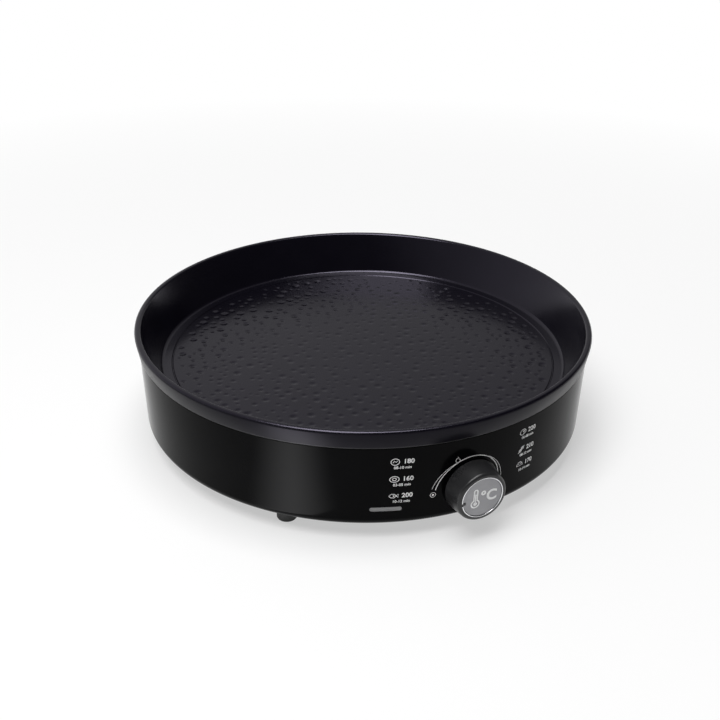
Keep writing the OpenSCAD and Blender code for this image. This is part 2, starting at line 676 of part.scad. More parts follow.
module thermostat_body() color([0.35, 0.22, 0.14]) on_knob_axis() translate([0, 0, -thermostat_end])
    difference() {
        linear_extrude(thermostat_l) chamfered_2d(thermostat_w, thermostat_h, 2);
        translate([0, 0, thermostat_l - collar_t - 2 * collar_gap])
            cylinder(d = collar_d + 1, h = collar_t + 2 * collar_gap + 1);
        translate([0, 0, shaft_seat]) cylinder(d = shaft_d + 2 * running_clear, h = thermostat_l);
        for (side = [-1, 1]) translate([side * tab_pitch / 2, -tab_drop, -1])
            linear_extrude(4) square([tab_w, tab_t], center = true);
    }

module thermostat_tabs() color([0.8, 0.65, 0.3]) on_knob_axis() for (side = [-1, 1])
    translate([side * tab_pitch / 2, -tab_drop, -thermostat_end - tab_l]) linear_extrude(tab_l + 2.8)
        square([tab_w - 2 * slip_clear, tab_t - 2 * slip_clear], center = true);

module thermostat_screws() color("silver") for (side = [-1, 1]) on_knob_axis()
    translate([side * thermostat_pitch / 2, 0, -mount_face - plate_t])
        screw(screw_d, plate_t + mount_face - wall_t - 2);

// Control shaft: a collar keeps it in the thermostat, and a flat drives the knob
module thermostat_shaft() color("silver") on_knob_axis() difference() {
    inner_end = thermostat_end - shaft_seat - shaft_end_gap;
    union() {
        translate([0, 0, -inner_end]) cylinder(d = shaft_d, h = inner_end + shaft_reach);
        translate([0, 0, -mount_face - plate_t - collar_gap - collar_t]) cylinder(d = collar_d, h = collar_t);
    }
    translate([-shaft_d, shaft_d / 2 - flat_depth, shaft_reach - flat_l])
        cube([2 * shaft_d, shaft_d, flat_l + 1]);
}

module capillary() color([0.75, 0.45, 0.28]) lead(capillary_route, capillary_d);

module sensor_bulb() color([0.75, 0.45, 0.28]) on_circle(bulb_az, side_r, side_z - bulb_d / 2 - slip_clear)
    translate([0, bulb_l / 2, 0]) rotate([90, 0, 0]) cylinder(d = bulb_d, h = bulb_l);

module bulb_clip() color("silver") on_circle(bulb_az, side_r, side_z)
    saddle_clip(bulb_d, bulb_d / 2 + slip_clear, clip_w);

module thermal_fuse() color([0.9, 0.9, 0.86]) on_circle(fuse_az, side_r, side_z - fuse_d / 2 - slip_clear)
    translate([0, fuse_l / 2, 0]) rotate([90, 0, 0]) cylinder(d = fuse_d, h = fuse_l);

module fuse_clip() color("silver") on_circle(fuse_az, side_r, side_z)
    saddle_clip(fuse_d, fuse_d / 2 + slip_clear, clip_w);

module side_clip_screws() color("silver") for (a = [bulb_az, fuse_az])
    on_circle(a, side_r, side_z - clip_t) translate([clip_screw_x, 0, 0]) screw(screw_d, side_boss_h + 1.5);

// Indicator lamp

module indicator_lens() color([0.7, 0.7, 0.7]) {
    intersection() {
        inside_wall(lens_proud);
        on_wall(lens_az, lens_z) translate([0, 0, -lens_flange_u - lens_flange / 2])
            linear_extrude(20) slot_2d(lens_l, lens_h);
    }
    on_wall(lens_az, lens_z) translate([0, 0, -lens_flange_u - lens_flange])
        linear_extrude(lens_flange) slot_2d(lens_l + 4, lens_h + 3);
}

module lamp_holder() color([0.1, 0.1, 0.1]) on_wall(lens_az, lens_z)
    translate([0, 0, -lens_flange_u - lens_flange - holder_depth]) difference() {
        translate([-holder_w / 2, -holder_h / 2, 0]) cube([holder_w, holder_h, holder_depth]);
        translate([-holder_w / 2 + holder_wall, -holder_h / 2 + holder_wall, holder_wall])
            cube([holder_w - 2 * holder_wall, holder_h - 2 * holder_wall, holder_depth]);
    }

module indicator_lamp() color([1, 0.6, 0.3]) on_wall(lens_az, lens_z)
    translate([-lamp_l / 2, 0, -lens_flange_u - lens_flange - holder_depth + holder_wall + lamp_d / 2])
        rotate([0, 90, 0]) cylinder(d = lamp_d, h = lamp_l);

// Mains inlet

module power_inlet() color([0.05, 0.05, 0.05]) on_inlet() difference() {
    union() {
        linear_extrude(inlet_flange_t) chamfered_2d(inlet_w, inlet_h, 3);
        translate([-inlet_body_w / 2, -inlet_body_h / 2, -inlet_body_l])
            cube([inlet_body_w, inlet_body_h, inlet_body_l + inlet_flange_t / 2]);
    }
    translate([0, 0, inlet_flange_t - socket_depth]) linear_extrude(socket_depth + 1)
        polygon([[-socket_w / 2, -socket_h / 2], [socket_w / 2, -socket_h / 2],
                 [socket_w / 2, socket_h / 2 - socket_chamfer],
                 [socket_w / 2 - socket_chamfer, socket_h / 2], [socket_chamfer - socket_w / 2, socket_h / 2],
                 [-socket_w / 2, socket_h / 2 - socket_chamfer]]);
    for (place = blade_places) translate(concat(place, -50)) linear_extrude(60)
        square([blade_t + 2 * slip_clear, blade_h + 2 * slip_clear], center = true);
    for (side = [-1, 1]) translate([side * inlet_screw_pitch / 2, 0, -1])
        screw_hole(inlet_flange_t + 2);
}

module inlet_pins() color([0.8, 0.7, 0.4]) on_inlet() for (place = blade_places)
    translate(concat(place, -inlet_body_l - tab_l))
        linear_extrude(tab_l + inlet_body_l + inlet_flange_t - socket_depth + blade_l)
            square([blade_t, blade_h], center = true);

module inlet_screws() color("silver") on_inlet() for (side = [-1, 1])
    translate([side * inlet_screw_pitch / 2, 0, inlet_flange_t]) rotate([180, 0, 0])
        screw(screw_d, inlet_flange_t + inlet_pad_t - 1);

// Inner leads

module live_lead() color("saddlebrown") lead(live_route, lead_d);
module fuse_lead() color("saddlebrown") lead(fuse_route, lead_d);
module heater_lead() color("saddlebrown") lead(heater_route, lead_d);
module neutral_lead() color("royalblue") lead(neutral_route, lead_d);
module earth_lead() color("yellowgreen") lead(earth_route, lead_d);

// The earth lead's ring tag, under the earth screw's head
module earth_ring() color("silver") translate(concat(earth_xy, earth_z - clip_t / 2)) difference() {
    union() {
        cylinder(d = 8, h = clip_t);
        translate([-2.5, 0, 0]) cube([5, earth_tag, clip_t]);
    }
    translate([0, 0, -1]) screw_hole(clip_t + 2);
}
module lamp_leads() color("royalblue") for (route = lamp_routes) lead(route, lamp_lead_d);
module earth_screw() color("silver") translate(concat(earth_xy, under_z - earth_boss_h - clip_t))
    screw(screw_d, earth_boss_h + clip_t - 1);

// Knob

// Half section of the shell: up the outside, over the bezel, into the pocket and the hollow back
function knob_section() =
    let (edge_c = [knob_front_d / 2 - knob_edge, knob_face - knob_edge])
    concat([[knob_back_d / 2 - knob_wall, knob_back], [knob_back_d / 2, knob_back]],
           arc(edge_c, knob_edge, 0, 90),
           [[disc_pocket_d / 2, knob_face], [disc_pocket_d / 2, knob_face - disc_recess],
            [0, knob_face - disc_recess], [0, knob_face - disc_recess - knob_wall],
            [knob_front_d / 2 - knob_wall - 0.8, knob_face - disc_recess - knob_wall]]);

module knob_body() color([0.08, 0.08, 0.085]) on_knob_axis() {
    bore_d = shaft_d + 2 * running_clear;
    hub_top = knob_face - disc_recess - knob_wall / 2;
    difference() {
        union() {
            rotate_extrude() polygon(knob_section());
            translate([0, 0, knob_back + 1]) cylinder(d = hub_d, h = hub_top - knob_back - 1);
        }
        // Bore with a flat, closed at the front
        intersection() {
            translate([0, 0, -1]) cylinder(d = bore_d, h = shaft_reach + 1 + slip_clear);
            union() {
                translate([-bore_d, -bore_d, -1])
                    cube([2 * bore_d, bore_d + shaft_d / 2 - flat_depth + slip_clear, 50]);
                translate([-bore_d, -bore_d, -1]) cube([2 * bore_d, 2 * bore_d, shaft_reach - flat_l + 1]);
            }
        }
        translate([0, 0, knob_back - 1]) cylinder(d = hub_d + 4 * clip_ring_t, h = 2);
    }
    // Pointer at the edge of the disc
    rotate([0, 0, off_angle]) translate([disc_d / 2 - 2, -pointer_w / 2, knob_face - disc_recess - 0.5])
        cube([disc_pocket_d / 2 - disc_d / 2 + 2.4, pointer_w, disc_recess + 0.2]);
}

// Clears the pointer from the disc and its ring
module pointer_cut() {
    rotate([0, 0, off_angle])
        translate([disc_d / 2 - 2 - slip_clear, -pointer_w / 2 - slip_clear, knob_face - disc_recess - 1])
            cube([10, pointer_w + 2 * slip_clear, 10]);
}

module knob_disc() color([0.55, 0.55, 0.57]) on_knob_axis() difference() {
    translate([0, 0, knob_face - disc_recess]) cylinder(d = disc_d, h = disc_t);
    pointer_cut();
}

module knob_trim_ring() color([0.85, 0.85, 0.86]) on_knob_axis() difference() {
    translate([0, 0, knob_face - disc_recess])
        cylinder(d = disc_d + 2 * ring_w + slip_clear, h = disc_recess);
    translate([0, 0, knob_face - disc_recess - 1]) cylinder(d = disc_d + slip_clear, h = disc_recess + 2);
    pointer_cut();
}

// Open spring ring that tightens the hub on the shaft
module knob_clip() color("silver") on_knob_axis() translate([0, 0, knob_back + 3]) difference() {
    cylinder(d = hub_d + 2 * clip_ring_t + slip_clear, h = 4);
    translate([0, 0, -1]) cylinder(d = hub_d + slip_clear, h = 6);
    translate([0, -1.5, -1]) cube([hub_d, 3, 6]);
}

// Assembly

module placed() { translate([0, axis_y, 0]) children(); }

placed() pan();
placed() pan_seal();
placed() housing();
placed() base_cover();
placed() foot(-45);  // foot_front_left
placed() foot(45);  // foot_front_right
placed() foot(-135);  // foot_rear_left
placed() foot(135);  // foot_rear_right
placed() foot_screws();
placed() cover_screws();
placed() base_bolts();
placed() spacers();
placed() heater_tube();
placed() heater_terminals();
placed() heater_insulators();
placed() heater_clips();
placed() heater_clip_screws();
placed() heat_shield();
placed() thermostat_body();
placed() thermostat_plate();
placed() thermostat_screws();
placed() thermostat_tabs();
placed() thermostat_shaft();
placed() capillary();
placed() sensor_bulb();
placed() bulb_clip();
placed() thermal_fuse();
placed() fuse_clip();
placed() side_clip_screws();
placed() indicator_lens();
placed() lamp_holder();
placed() indicator_lamp();
placed() power_inlet();
placed() inlet_pins();
placed() inlet_screws();
placed() live_lead();
placed() fuse_lead();
placed() heater_lead();
placed() neutral_lead();
placed() earth_lead();
placed() earth_ring();
placed() earth_screw();
placed() lamp_leads();
placed() knob_body();
placed() knob_disc();
placed() knob_trim_ring();
placed() knob_clip();
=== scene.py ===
import bpy
import json
import math
import random
import numpy as np
from mathutils import Matrix, Vector, kdtree


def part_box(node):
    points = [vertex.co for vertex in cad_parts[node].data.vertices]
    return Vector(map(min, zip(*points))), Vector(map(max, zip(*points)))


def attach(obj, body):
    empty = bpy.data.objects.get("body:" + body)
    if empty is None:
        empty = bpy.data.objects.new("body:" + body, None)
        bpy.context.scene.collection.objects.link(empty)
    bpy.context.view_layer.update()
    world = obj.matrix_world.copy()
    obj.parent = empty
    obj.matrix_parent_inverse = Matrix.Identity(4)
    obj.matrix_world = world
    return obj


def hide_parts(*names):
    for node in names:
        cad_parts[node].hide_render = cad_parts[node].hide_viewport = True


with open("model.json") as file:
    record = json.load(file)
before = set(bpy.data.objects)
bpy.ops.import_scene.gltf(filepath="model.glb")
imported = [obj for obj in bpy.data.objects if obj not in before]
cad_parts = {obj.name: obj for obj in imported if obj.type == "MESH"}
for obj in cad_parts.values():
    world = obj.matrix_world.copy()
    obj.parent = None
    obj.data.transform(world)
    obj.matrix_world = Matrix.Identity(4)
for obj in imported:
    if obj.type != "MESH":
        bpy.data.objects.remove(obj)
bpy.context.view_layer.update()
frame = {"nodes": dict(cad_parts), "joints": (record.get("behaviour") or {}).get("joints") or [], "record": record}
cadNodes = frame["nodes"]
mm = 0.001
# vertices nearer than this are welded, in spun outlines, drawn ones and meshes taken from a solid
weld = {"spun": 0.002 * mm, "drawn": 0.001 * mm, "solid": 0.005 * mm}
print("frame loaded:", len(cadNodes), "solids")

# Places that the frame gives: the pan's upright axis, the rim, the housing and the knob's axis
panLow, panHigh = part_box("pan")
shellLow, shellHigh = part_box("housing")
axisY = (panLow.y + panHigh.y) / 2
rimR, rimZ = (panHigh.x - panLow.x) / 2 / mm, panHigh.z / mm
shellTopR, shellTopZ, shellBaseZ = shellHigh.x / mm, shellHigh.z / mm, shellLow.z / mm
knobJoint = frame["joints"][0]
knobLean = math.asin(knobJoint["axis"][2])
knobPlace = Matrix.Translation(knobJoint["pos_m"]) @ Matrix.Rotation(math.pi / 2 + knobLean, 4, "X")
panPlace = Matrix.Translation((0, axisY, 0))

housing = {"wall": 2, "draft": 2.25, "bottomRound": 7, "coverEdge": 7.3, "coverPlay": 0.3, "ledge": 5,
           "ledgeTop": 4, "ledgeLow": 2, "topEdge": 0.5, "topRoll": ((-0.35, -0.08), (-0.7, 0)),
           "shaftHoleR": 5, "shaftHoleReach": 8, "turns": 288}


def wallR(z):
    # radius of the housing's outside at a height, both in millimetres
    share = (z - shellBaseZ) / (shellTopZ - shellBaseZ)
    return shellTopR - housing["draft"] * (1 - share)


# Modelling: outlines drawn from one vertex, spun, cut and laid on the wall

def clearSelection():
    bpy.ops.object.select_all(action="DESELECT")


def pickOnly(*pieces):
    clearSelection()
    for piece in pieces:
        piece.select_set(True)
    bpy.context.view_layer.objects.active = pieces[0]


def named(piece, name):
    piece.name = piece.data.name = name
    return piece


def applyPlace(piece, place):
    pickOnly(piece)
    piece.matrix_world = place
    bpy.ops.object.transform_apply(location=True, rotation=True, scale=True)
    return piece


def shadeSoft(piece, angle=35):
    # smooth, but edges that turn by more than the angle stay sharp
    pickOnly(piece)
    bpy.ops.object.shade_smooth_by_angle(angle=math.radians(angle))
    return piece


def weldAll(distance):
    bpy.ops.mesh.select_all(action="SELECT")
    bpy.ops.mesh.remove_doubles(threshold=distance)


def closeEdit():
    # normals are turned outwards, and edit mode ends
    bpy.ops.mesh.select_all(action="SELECT")
    bpy.ops.mesh.normals_make_consistent(inside=False)
    bpy.ops.object.mode_set(mode="OBJECT")


def drawOutline(name, points):
    # one vertex is drawn out along the points, in millimetres, and edit mode stays on
    clearSelection()
    bpy.ops.mesh.primitive_plane_add(size=mm)
    piece = named(bpy.context.object, name)
    bpy.ops.object.mode_set(mode="EDIT")
    bpy.ops.mesh.merge(type="CENTER")
    points = [Vector(p) * mm for p in points]
    bpy.ops.transform.translate(value=points[0])
    for here, after in zip(points, points[1:]):
        bpy.ops.mesh.extrude_region_move(TRANSFORM_OT_translate={"value": after - here})
    return piece


def spinOutline(name, outline, turns, place=panPlace):
    # outline: (radius, height) pairs, spun once round the upright axis and then put in place
    piece = drawOutline(name, [(r, 0, z) for r, z in outline])
    bpy.ops.mesh.select_all(action="SELECT")
    bpy.ops.mesh.spin(steps=turns, angle=2 * math.pi, center=(0, 0, 0), axis=(0, 0, 1))
    weldAll(weld["spun"])
    closeEdit()
    return shadeSoft(applyPlace(piece, place))


def arcPoints(centre, radius, start, end, count=8):
    angles = [math.radians(start + (end - start) * i / count) for i in range(count + 1)]
    return [(centre[0] + radius * math.cos(a), centre[1] + radius * math.sin(a)) for a in angles]


def block(name, size, place, bevel=0, segments=3):
    # a block, bevelled if asked, its size in millimetres, centred on the place
    clearSelection()
    bpy.ops.mesh.primitive_cube_add(size=mm)
    piece = named(bpy.context.object, name)
    piece.scale = size
    bpy.ops.object.transform_apply(location=False, rotation=False, scale=True)
    if bevel:
        bpy.ops.object.mode_set(mode="EDIT")
        bpy.ops.mesh.bevel(offset=bevel * mm, segments=segments)
        bpy.ops.object.mode_set(mode="OBJECT")
    return applyPlace(piece, place)


def rod(name, radius, low, high, place, sides=48):
    clearSelection()
    bpy.ops.mesh.primitive_cylinder_add(vertices=sides, radius=radius * mm, depth=(high - low) * mm,
                                        location=(0, 0, (low + high) / 2 * mm))
    piece = named(bpy.context.object, name)
    bpy.ops.object.transform_apply(location=True, rotation=True, scale=True)
    return applyPlace(piece, place)


def joinPieces(first, *others):
    pickOnly(first, *others)
    bpy.ops.object.join()
    return first


def cutAway(piece, cutter):
    pickOnly(piece)
    cut = piece.modifiers.new("cut", "BOOLEAN")
    cut.object = cutter
    cut.solver = "EXACT"
    bpy.ops.object.modifier_apply(modifier=cut.name)
    bpy.data.objects.remove(cutter)
    return piece


def moveVertices(piece, rule):
    # rule takes and gives an array of places in millimetres
    spots = np.empty(len(piece.data.vertices) * 3)
    piece.data.vertices.foreach_get("co", spots)
    spots = rule(spots.reshape(-1, 3) / mm) * mm
    piece.data.vertices.foreach_set("co", spots.ravel())
    piece.data.update()
    return piece


def layOnWall(piece, azimuth, z):
    # a flat piece drawn round its own origin is wrapped on the housing: X along it, Y up, Z outwards
    def wrap(spots):
        height = z + spots[:, 1] * math.cos(knobLean)
        out = wallR(height) + spots[:, 2]
        angle = math.radians(azimuth) + spots[:, 0] / wallR(height)
        return np.stack([out * np.sin(angle), axisY / mm - out * np.cos(angle), height], 1)
    return moveVertices(piece, wrap)


def stroke(points, width, closed=False, stand=0.05):
    # a drawn line of ink: the outline becomes a curve for its width and then a flat mesh
    points = [(x, y, 0) for x, y in points]
    drawOutline("stroke", points + points[:1] if closed else points)
    weldAll(weld["drawn"])
    bpy.ops.object.mode_set(mode="OBJECT")
    bpy.ops.object.convert(target="CURVE")
    line = bpy.context.object
    line.data.bevel_depth = width / 2 * mm
    line.data.bevel_resolution = 1
    line.data.use_fill_caps = True
    bpy.ops.object.convert(target="MESH")
    piece = bpy.context.object
    piece.scale = (1, 1, stand / (width / 2))
    bpy.ops.object.transform_apply(location=False, rotation=False, scale=True)
    return piece


def figures(words, size, at, weight=0.018, stand=0.05, curve=3):
    # plain figures, centred on a point, size in millimetres, weight as a share of it
    clearSelection()
    bpy.ops.object.text_add()
    text = bpy.context.object
    text.data.body = words
    text.data.align_x, text.data.align_y = "CENTER", "CENTER"
    text.data.resolution_u = curve
    text.data.extrude = stand / size
    text.data.offset = weight
    bpy.ops.object.convert(target="MESH")
    place = Matrix.Translation((at[0] * mm, at[1] * mm, 0)) @ Matrix.Scale(size * mm, 4)
    return applyPlace(bpy.context.object, place)


def shifted(points, x, y, scale=1):
    return [(x + px * scale, y + py * scale) for px, py in points]


def ellipse(rx, ry, count=28):
    angles = [2 * math.pi * i / count for i in range(count)]
    return [(rx * math.cos(a), ry * math.sin(a)) for a in angles]


def roundedBar(name, length, height, low, high, edge, cells=12, endCells=10):
    # half-round ends and a soft front edge, drawn flat round the origin
    half, radius = length / 2 - height / 2, height / 2
    rim = [(half + x, y) for x, y in arcPoints((0, 0), radius, -90, 90, endCells)]
    rim += [(half - 2 * half * i / cells, radius) for i in range(1, cells)]
    rim += [(x - half, y) for x, y in arcPoints((0, 0), radius, 90, 270, endCells)]
    rim += [(2 * half * i / cells - half, -radius) for i in range(1, cells)]
    piece = drawOutline(name, [(x, y, low) for x, y in rim + rim[:1]])
    weldAll(weld["drawn"])
    bpy.ops.mesh.edge_face_add()
    bpy.ops.mesh.extrude_region_move(TRANSFORM_OT_translate={"value": (0, 0, (high - low - edge) * mm)})
    # two insets round the edge, inwards and outwards by shares of it
    for inward, outward in ((0.4, 0.7), (0.6, 0.3)):
        bpy.ops.mesh.inset(thickness=edge * inward * mm, depth=edge * outward * mm)
    closeEdit()
    return shadeSoft(piece, angle=40)


# Finishes. Two effects are shared by all of them.

def makeGroup(name, inputs, outputs):
    group = bpy.data.node_groups.new(name, "ShaderNodeTree")
    for socket, value in inputs.items():
        kind = "NodeSocketColor" if isinstance(value, tuple) else "NodeSocketFloat"
        group.interface.new_socket(socket, in_out="INPUT", socket_type=kind).default_value = value
    for socket, kind in outputs.items():
        group.interface.new_socket(socket, in_out="OUTPUT", socket_type=kind)
    return group, group.nodes.new("NodeGroupInput"), group.nodes.new("NodeGroupOutput")


def setInputs(node, values):
    for socket, value in values.items():
        node.inputs[socket].default_value = value


def addNode(tree, kind, values=None, operation=None):
    node = tree.nodes.new(kind)
    if operation:
        node.operation = operation
    setInputs(node, values or {})
    return node


def makeGrain():
    # fine moulded or cast grain with a slow cloudiness over it
    inputs = {"Fine": 900.0, "Cloud": 18.0, "Least": 0.3, "Most": 0.5, "Along": 1.0}
    outputs = {"Roughness": "NodeSocketFloat", "Height": "NodeSocketFloat"}
    group, into, out = makeGroup("castGrain", inputs, outputs)
    link = group.links.new
    place = addNode(group, "ShaderNodeTexCoord")
    stretch = addNode(group, "ShaderNodeCombineXYZ", {"Y": 1, "Z": 1})
    drawn = addNode(group, "ShaderNodeVectorMath", operation="MULTIPLY")
    fine = addNode(group, "ShaderNodeTexNoise", {"Detail": 3})
    cloud = addNode(group, "ShaderNodeTexNoise", {"Detail": 5, "Roughness": 0.6})
    # a quarter of the grain is added to the cloudiness
    blend = addNode(group, "ShaderNodeMath", {1: 0.25}, "MULTIPLY_ADD")
    spread = addNode(group, "ShaderNodeMapRange", {"From Min": 0.4, "From Max": 0.85})
    link(into.outputs["Along"], stretch.inputs["X"])
    link(place.outputs["Object"], drawn.inputs[0])
    link(stretch.outputs["Vector"], drawn.inputs[1])
    for noise, scale in ((fine, "Fine"), (cloud, "Cloud")):
        link(drawn.outputs["Vector"], noise.inputs["Vector"])
        link(into.outputs[scale], noise.inputs["Scale"])
    link(fine.outputs["Fac"], blend.inputs[0])
    link(cloud.outputs["Fac"], blend.inputs[2])
    link(blend.outputs[0], spread.inputs["Value"])
    link(into.outputs["Least"], spread.inputs["To Min"])
    link(into.outputs["Most"], spread.inputs["To Max"])
    link(spread.outputs["Result"], out.inputs["Roughness"])
    link(fine.outputs["Fac"], out.inputs["Height"])
    return group


def makeDrift():
    # a colour that wanders slightly from place to place
    inputs = {"Dark": (0, 0, 0, 1), "Light": (0, 0, 0, 1)}
    group, into, out = makeGroup("colourDrift", inputs, {"Colour": "NodeSocketColor"})
    link = group.links.new
    place = addNode(group, "ShaderNodeTexCoord")
    drift = addNode(group, "ShaderNodeTexNoise", {"Scale": 40, "Detail": 6, "Roughness": 0.65})
    spread = addNode(group, "ShaderNodeMapRange", {"From Min": 0.3, "From Max": 0.7})
    mix = addNode(group, "ShaderNodeMix")
    mix.data_type = "RGBA"
    # the colour sockets of a mix node share their names with others, so they are told by number
    darkIn, lightIn, mixed = mix.inputs[6], mix.inputs[7], mix.outputs[2]
    link(place.outputs["Object"], drift.inputs["Vector"])
    link(drift.outputs["Fac"], spread.inputs["Value"])
    link(spread.outputs["Result"], mix.inputs["Factor"])
    link(into.outputs["Dark"], darkIn)
    link(into.outputs["Light"], lightIn)
    link(mixed, out.inputs["Colour"])
    return group


castGrain, colourDrift = makeGrain(), makeDrift()
grainDepth = 0.05 * mm


def makeFinish(name, dark, light, least, most, fine=900.0, cloud=18.0, bump=0.03, metallic=0.0, specular=0.5,
               transmission=0.0, tint=(1, 1, 1), along=1.0):
    material = bpy.data.materials.new(name)
    material.use_nodes = True
    tree = material.node_tree
    link = tree.links.new
    shader = tree.nodes["Principled BSDF"]
    setInputs(shader, {"Metallic": metallic, "Specular IOR Level": specular, "Specular Tint": (*tint, 1),
                       "Transmission Weight": transmission})
    grain = addNode(tree, "ShaderNodeGroup")
    grain.node_tree = castGrain
    setInputs(grain, {"Fine": fine, "Cloud": cloud, "Least": least, "Most": most, "Along": along})
    colour = addNode(tree, "ShaderNodeGroup")
    colour.node_tree = colourDrift
    setInputs(colour, {"Dark": (*dark, 1), "Light": (*light, 1)})
    rise = addNode(tree, "ShaderNodeBump", {"Strength": bump, "Distance": grainDepth})
    link(colour.outputs["Colour"], shader.inputs["Base Color"])
    link(grain.outputs["Roughness"], shader.inputs["Roughness"])
    link(grain.outputs["Height"], rise.inputs["Height"])
    link(rise.outputs["Normal"], shader.inputs["Normal"])
    return material


coatingTint = (0.84, 0.78, 1)
finishes = {
    "nonstick_coating": makeFinish("nonstickCoating", (0.0021, 0.0018, 0.0038), (0.0031, 0.0027, 0.0052),
                                   0.17, 0.24, fine=1400, bump=0.35, specular=0.46, tint=coatingTint),
    "silicone_black": makeFinish("siliconeBlack", (0.012, 0.012, 0.012), (0.018, 0.018, 0.018), 0.55, 0.7,
                                 bump=0.2),
    "housing_gloss_black": makeFinish("housingGlossBlack", (0.0016, 0.0016, 0.0018), (0.0024, 0.0024, 0.0027),
                                      0.1, 0.15, fine=500, cloud=9, bump=0.004, specular=0.035),
    "base_plastic": makeFinish("basePlastic", (0.014, 0.014, 0.015), (0.022, 0.022, 0.023), 0.45, 0.62,
                               bump=0.3),
    "foot_rubber": makeFinish("footRubber", (0.012, 0.012, 0.012), (0.022, 0.022, 0.022), 0.6, 0.8,
                              bump=0.4),
    "zinc_steel": makeFinish("zincSteel", (0.5, 0.5, 0.51), (0.66, 0.66, 0.66), 0.25, 0.45, metallic=1,
                             bump=0.1),
    "heater_steel": makeFinish("heaterSteel", (0.16, 0.14, 0.13), (0.32, 0.3, 0.28), 0.35, 0.6, metallic=1,
                               bump=0.2),
    "bead_ceramic": makeFinish("beadCeramic", (0.74, 0.72, 0.67), (0.82, 0.81, 0.77), 0.5, 0.7, bump=0.2),
    "shield_aluminium": makeFinish("shieldAluminium", (0.6, 0.61, 0.62), (0.74, 0.75, 0.76), 0.3, 0.5,
                                   metallic=1),
    "thermostat_moulding": makeFinish("thermostatMoulding", (0.1, 0.05, 0.025), (0.16, 0.09, 0.05), 0.4, 0.6),
    "brass_contact": makeFinish("brassContact", (0.62, 0.46, 0.2), (0.76, 0.6, 0.3), 0.25, 0.45, metallic=1),
    "copper_tube": makeFinish("copperTube", (0.6, 0.31, 0.18), (0.75, 0.43, 0.28), 0.25, 0.45, metallic=1),
    "fuse_sleeve": makeFinish("fuseSleeve", (0.68, 0.66, 0.58), (0.8, 0.78, 0.72), 0.7, 0.85, fine=2500,
                              bump=0.6),
    "lens_frosted": makeFinish("lensFrosted", (0.2, 0.2, 0.2), (0.28, 0.28, 0.285), 0.35, 0.5),
    "lamp_glass": makeFinish("lampGlass", (0.9, 0.6, 0.42), (0.95, 0.68, 0.5), 0.03, 0.06, bump=0,
                             transmission=0.9),
    "lead_brown": makeFinish("leadBrown", (0.13, 0.05, 0.02), (0.19, 0.08, 0.035), 0.45, 0.6),
    "lead_blue": makeFinish("leadBlue", (0.03, 0.07, 0.28), (0.05, 0.11, 0.38), 0.45, 0.6),
    "lead_green": makeFinish("leadGreen", (0.06, 0.28, 0.04), (0.1, 0.4, 0.07), 0.45, 0.6),
    "knob_satin_black": makeFinish("knobSatinBlack", (0.014, 0.014, 0.015), (0.019, 0.019, 0.02), 0.24, 0.33,
                                   fine=2200, bump=0.15, specular=0.4),
    "disc_aluminium": makeFinish("discAluminium", (0.22, 0.22, 0.23), (0.27, 0.27, 0.28), 0.26, 0.46,
                                 metallic=1, fine=2600, cloud=700, bump=0.3, along=0.03),
    "trim_chrome": makeFinish("trimChrome", (0.72, 0.72, 0.74), (0.8, 0.8, 0.82), 0.06, 0.14, metallic=1,
                              bump=0),
}
bandSatin = makeFinish("bandSatin", (0.0034, 0.0031, 0.0048), (0.005, 0.0047, 0.0068), 0.26, 0.36, fine=1800,
                       bump=0.2, specular=0.1, tint=coatingTint)
whiteInk = makeFinish("whiteInk", (0.8, 0.8, 0.8), (0.86, 0.86, 0.86), 0.5, 0.65, fine=3000, bump=0.1)
print("finishes made:", len(finishes) + 2)

for subpart in frame["record"]["subparts"]:
    solid = cadNodes[subpart["node"]]
    solid.data.materials.clear()
    solid.data.materials.append(finishes[subpart["material_slot"]])


def finishPiece(piece, body, slot, *replaced, material=None):
    # a piece without a material of its own gets the given one or its slot's finish
    if not piece.data.materials:
        piece.data.materials.append(material or finishes[slot])
    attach(piece, body)
    if replaced:
        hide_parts(*replaced)
    return piece


# Cooking pan: lip, satin band, flared wall, ledge and groove spun in one, with a hammered plate in its floor
pan = {"depth": 29, "cast": 3, "flare": 24, "lip": 4, "lipRound": 1.8, "bandHeight": 12, "bandTaper": 1.9,
       "bandRoll": ((0.08, 0.45), (-0.12, 0.12), (-0.5, 0)), "bandMargin": 1, "bandSteep": 0.5, "fillet": 3,
       "ledge": 5.5, "groove": 1.4, "grooveDepth": 0.6, "grooveFlat": 0.2, "fieldBed": 1.2, "fieldEdge": 0.12,
       "heaterTubeR": 3.5, "bossHalf": 11.5, "bossHeight": 4.15, "postR": 5.5, "postLength": 10.4,
       "postOut": 16, "postSunk": 1, "postAngles": (45, 135, 225, 315), "turns": 288}
hammer = {"sides": 6, "cuts": (1, 85), "dents": 760, "dentR": (1.5, 3.5), "gap": 1.1, "depth": (0.065, 0.195),
          "margin": 1.2, "seed": 5, "thick": 1.1}


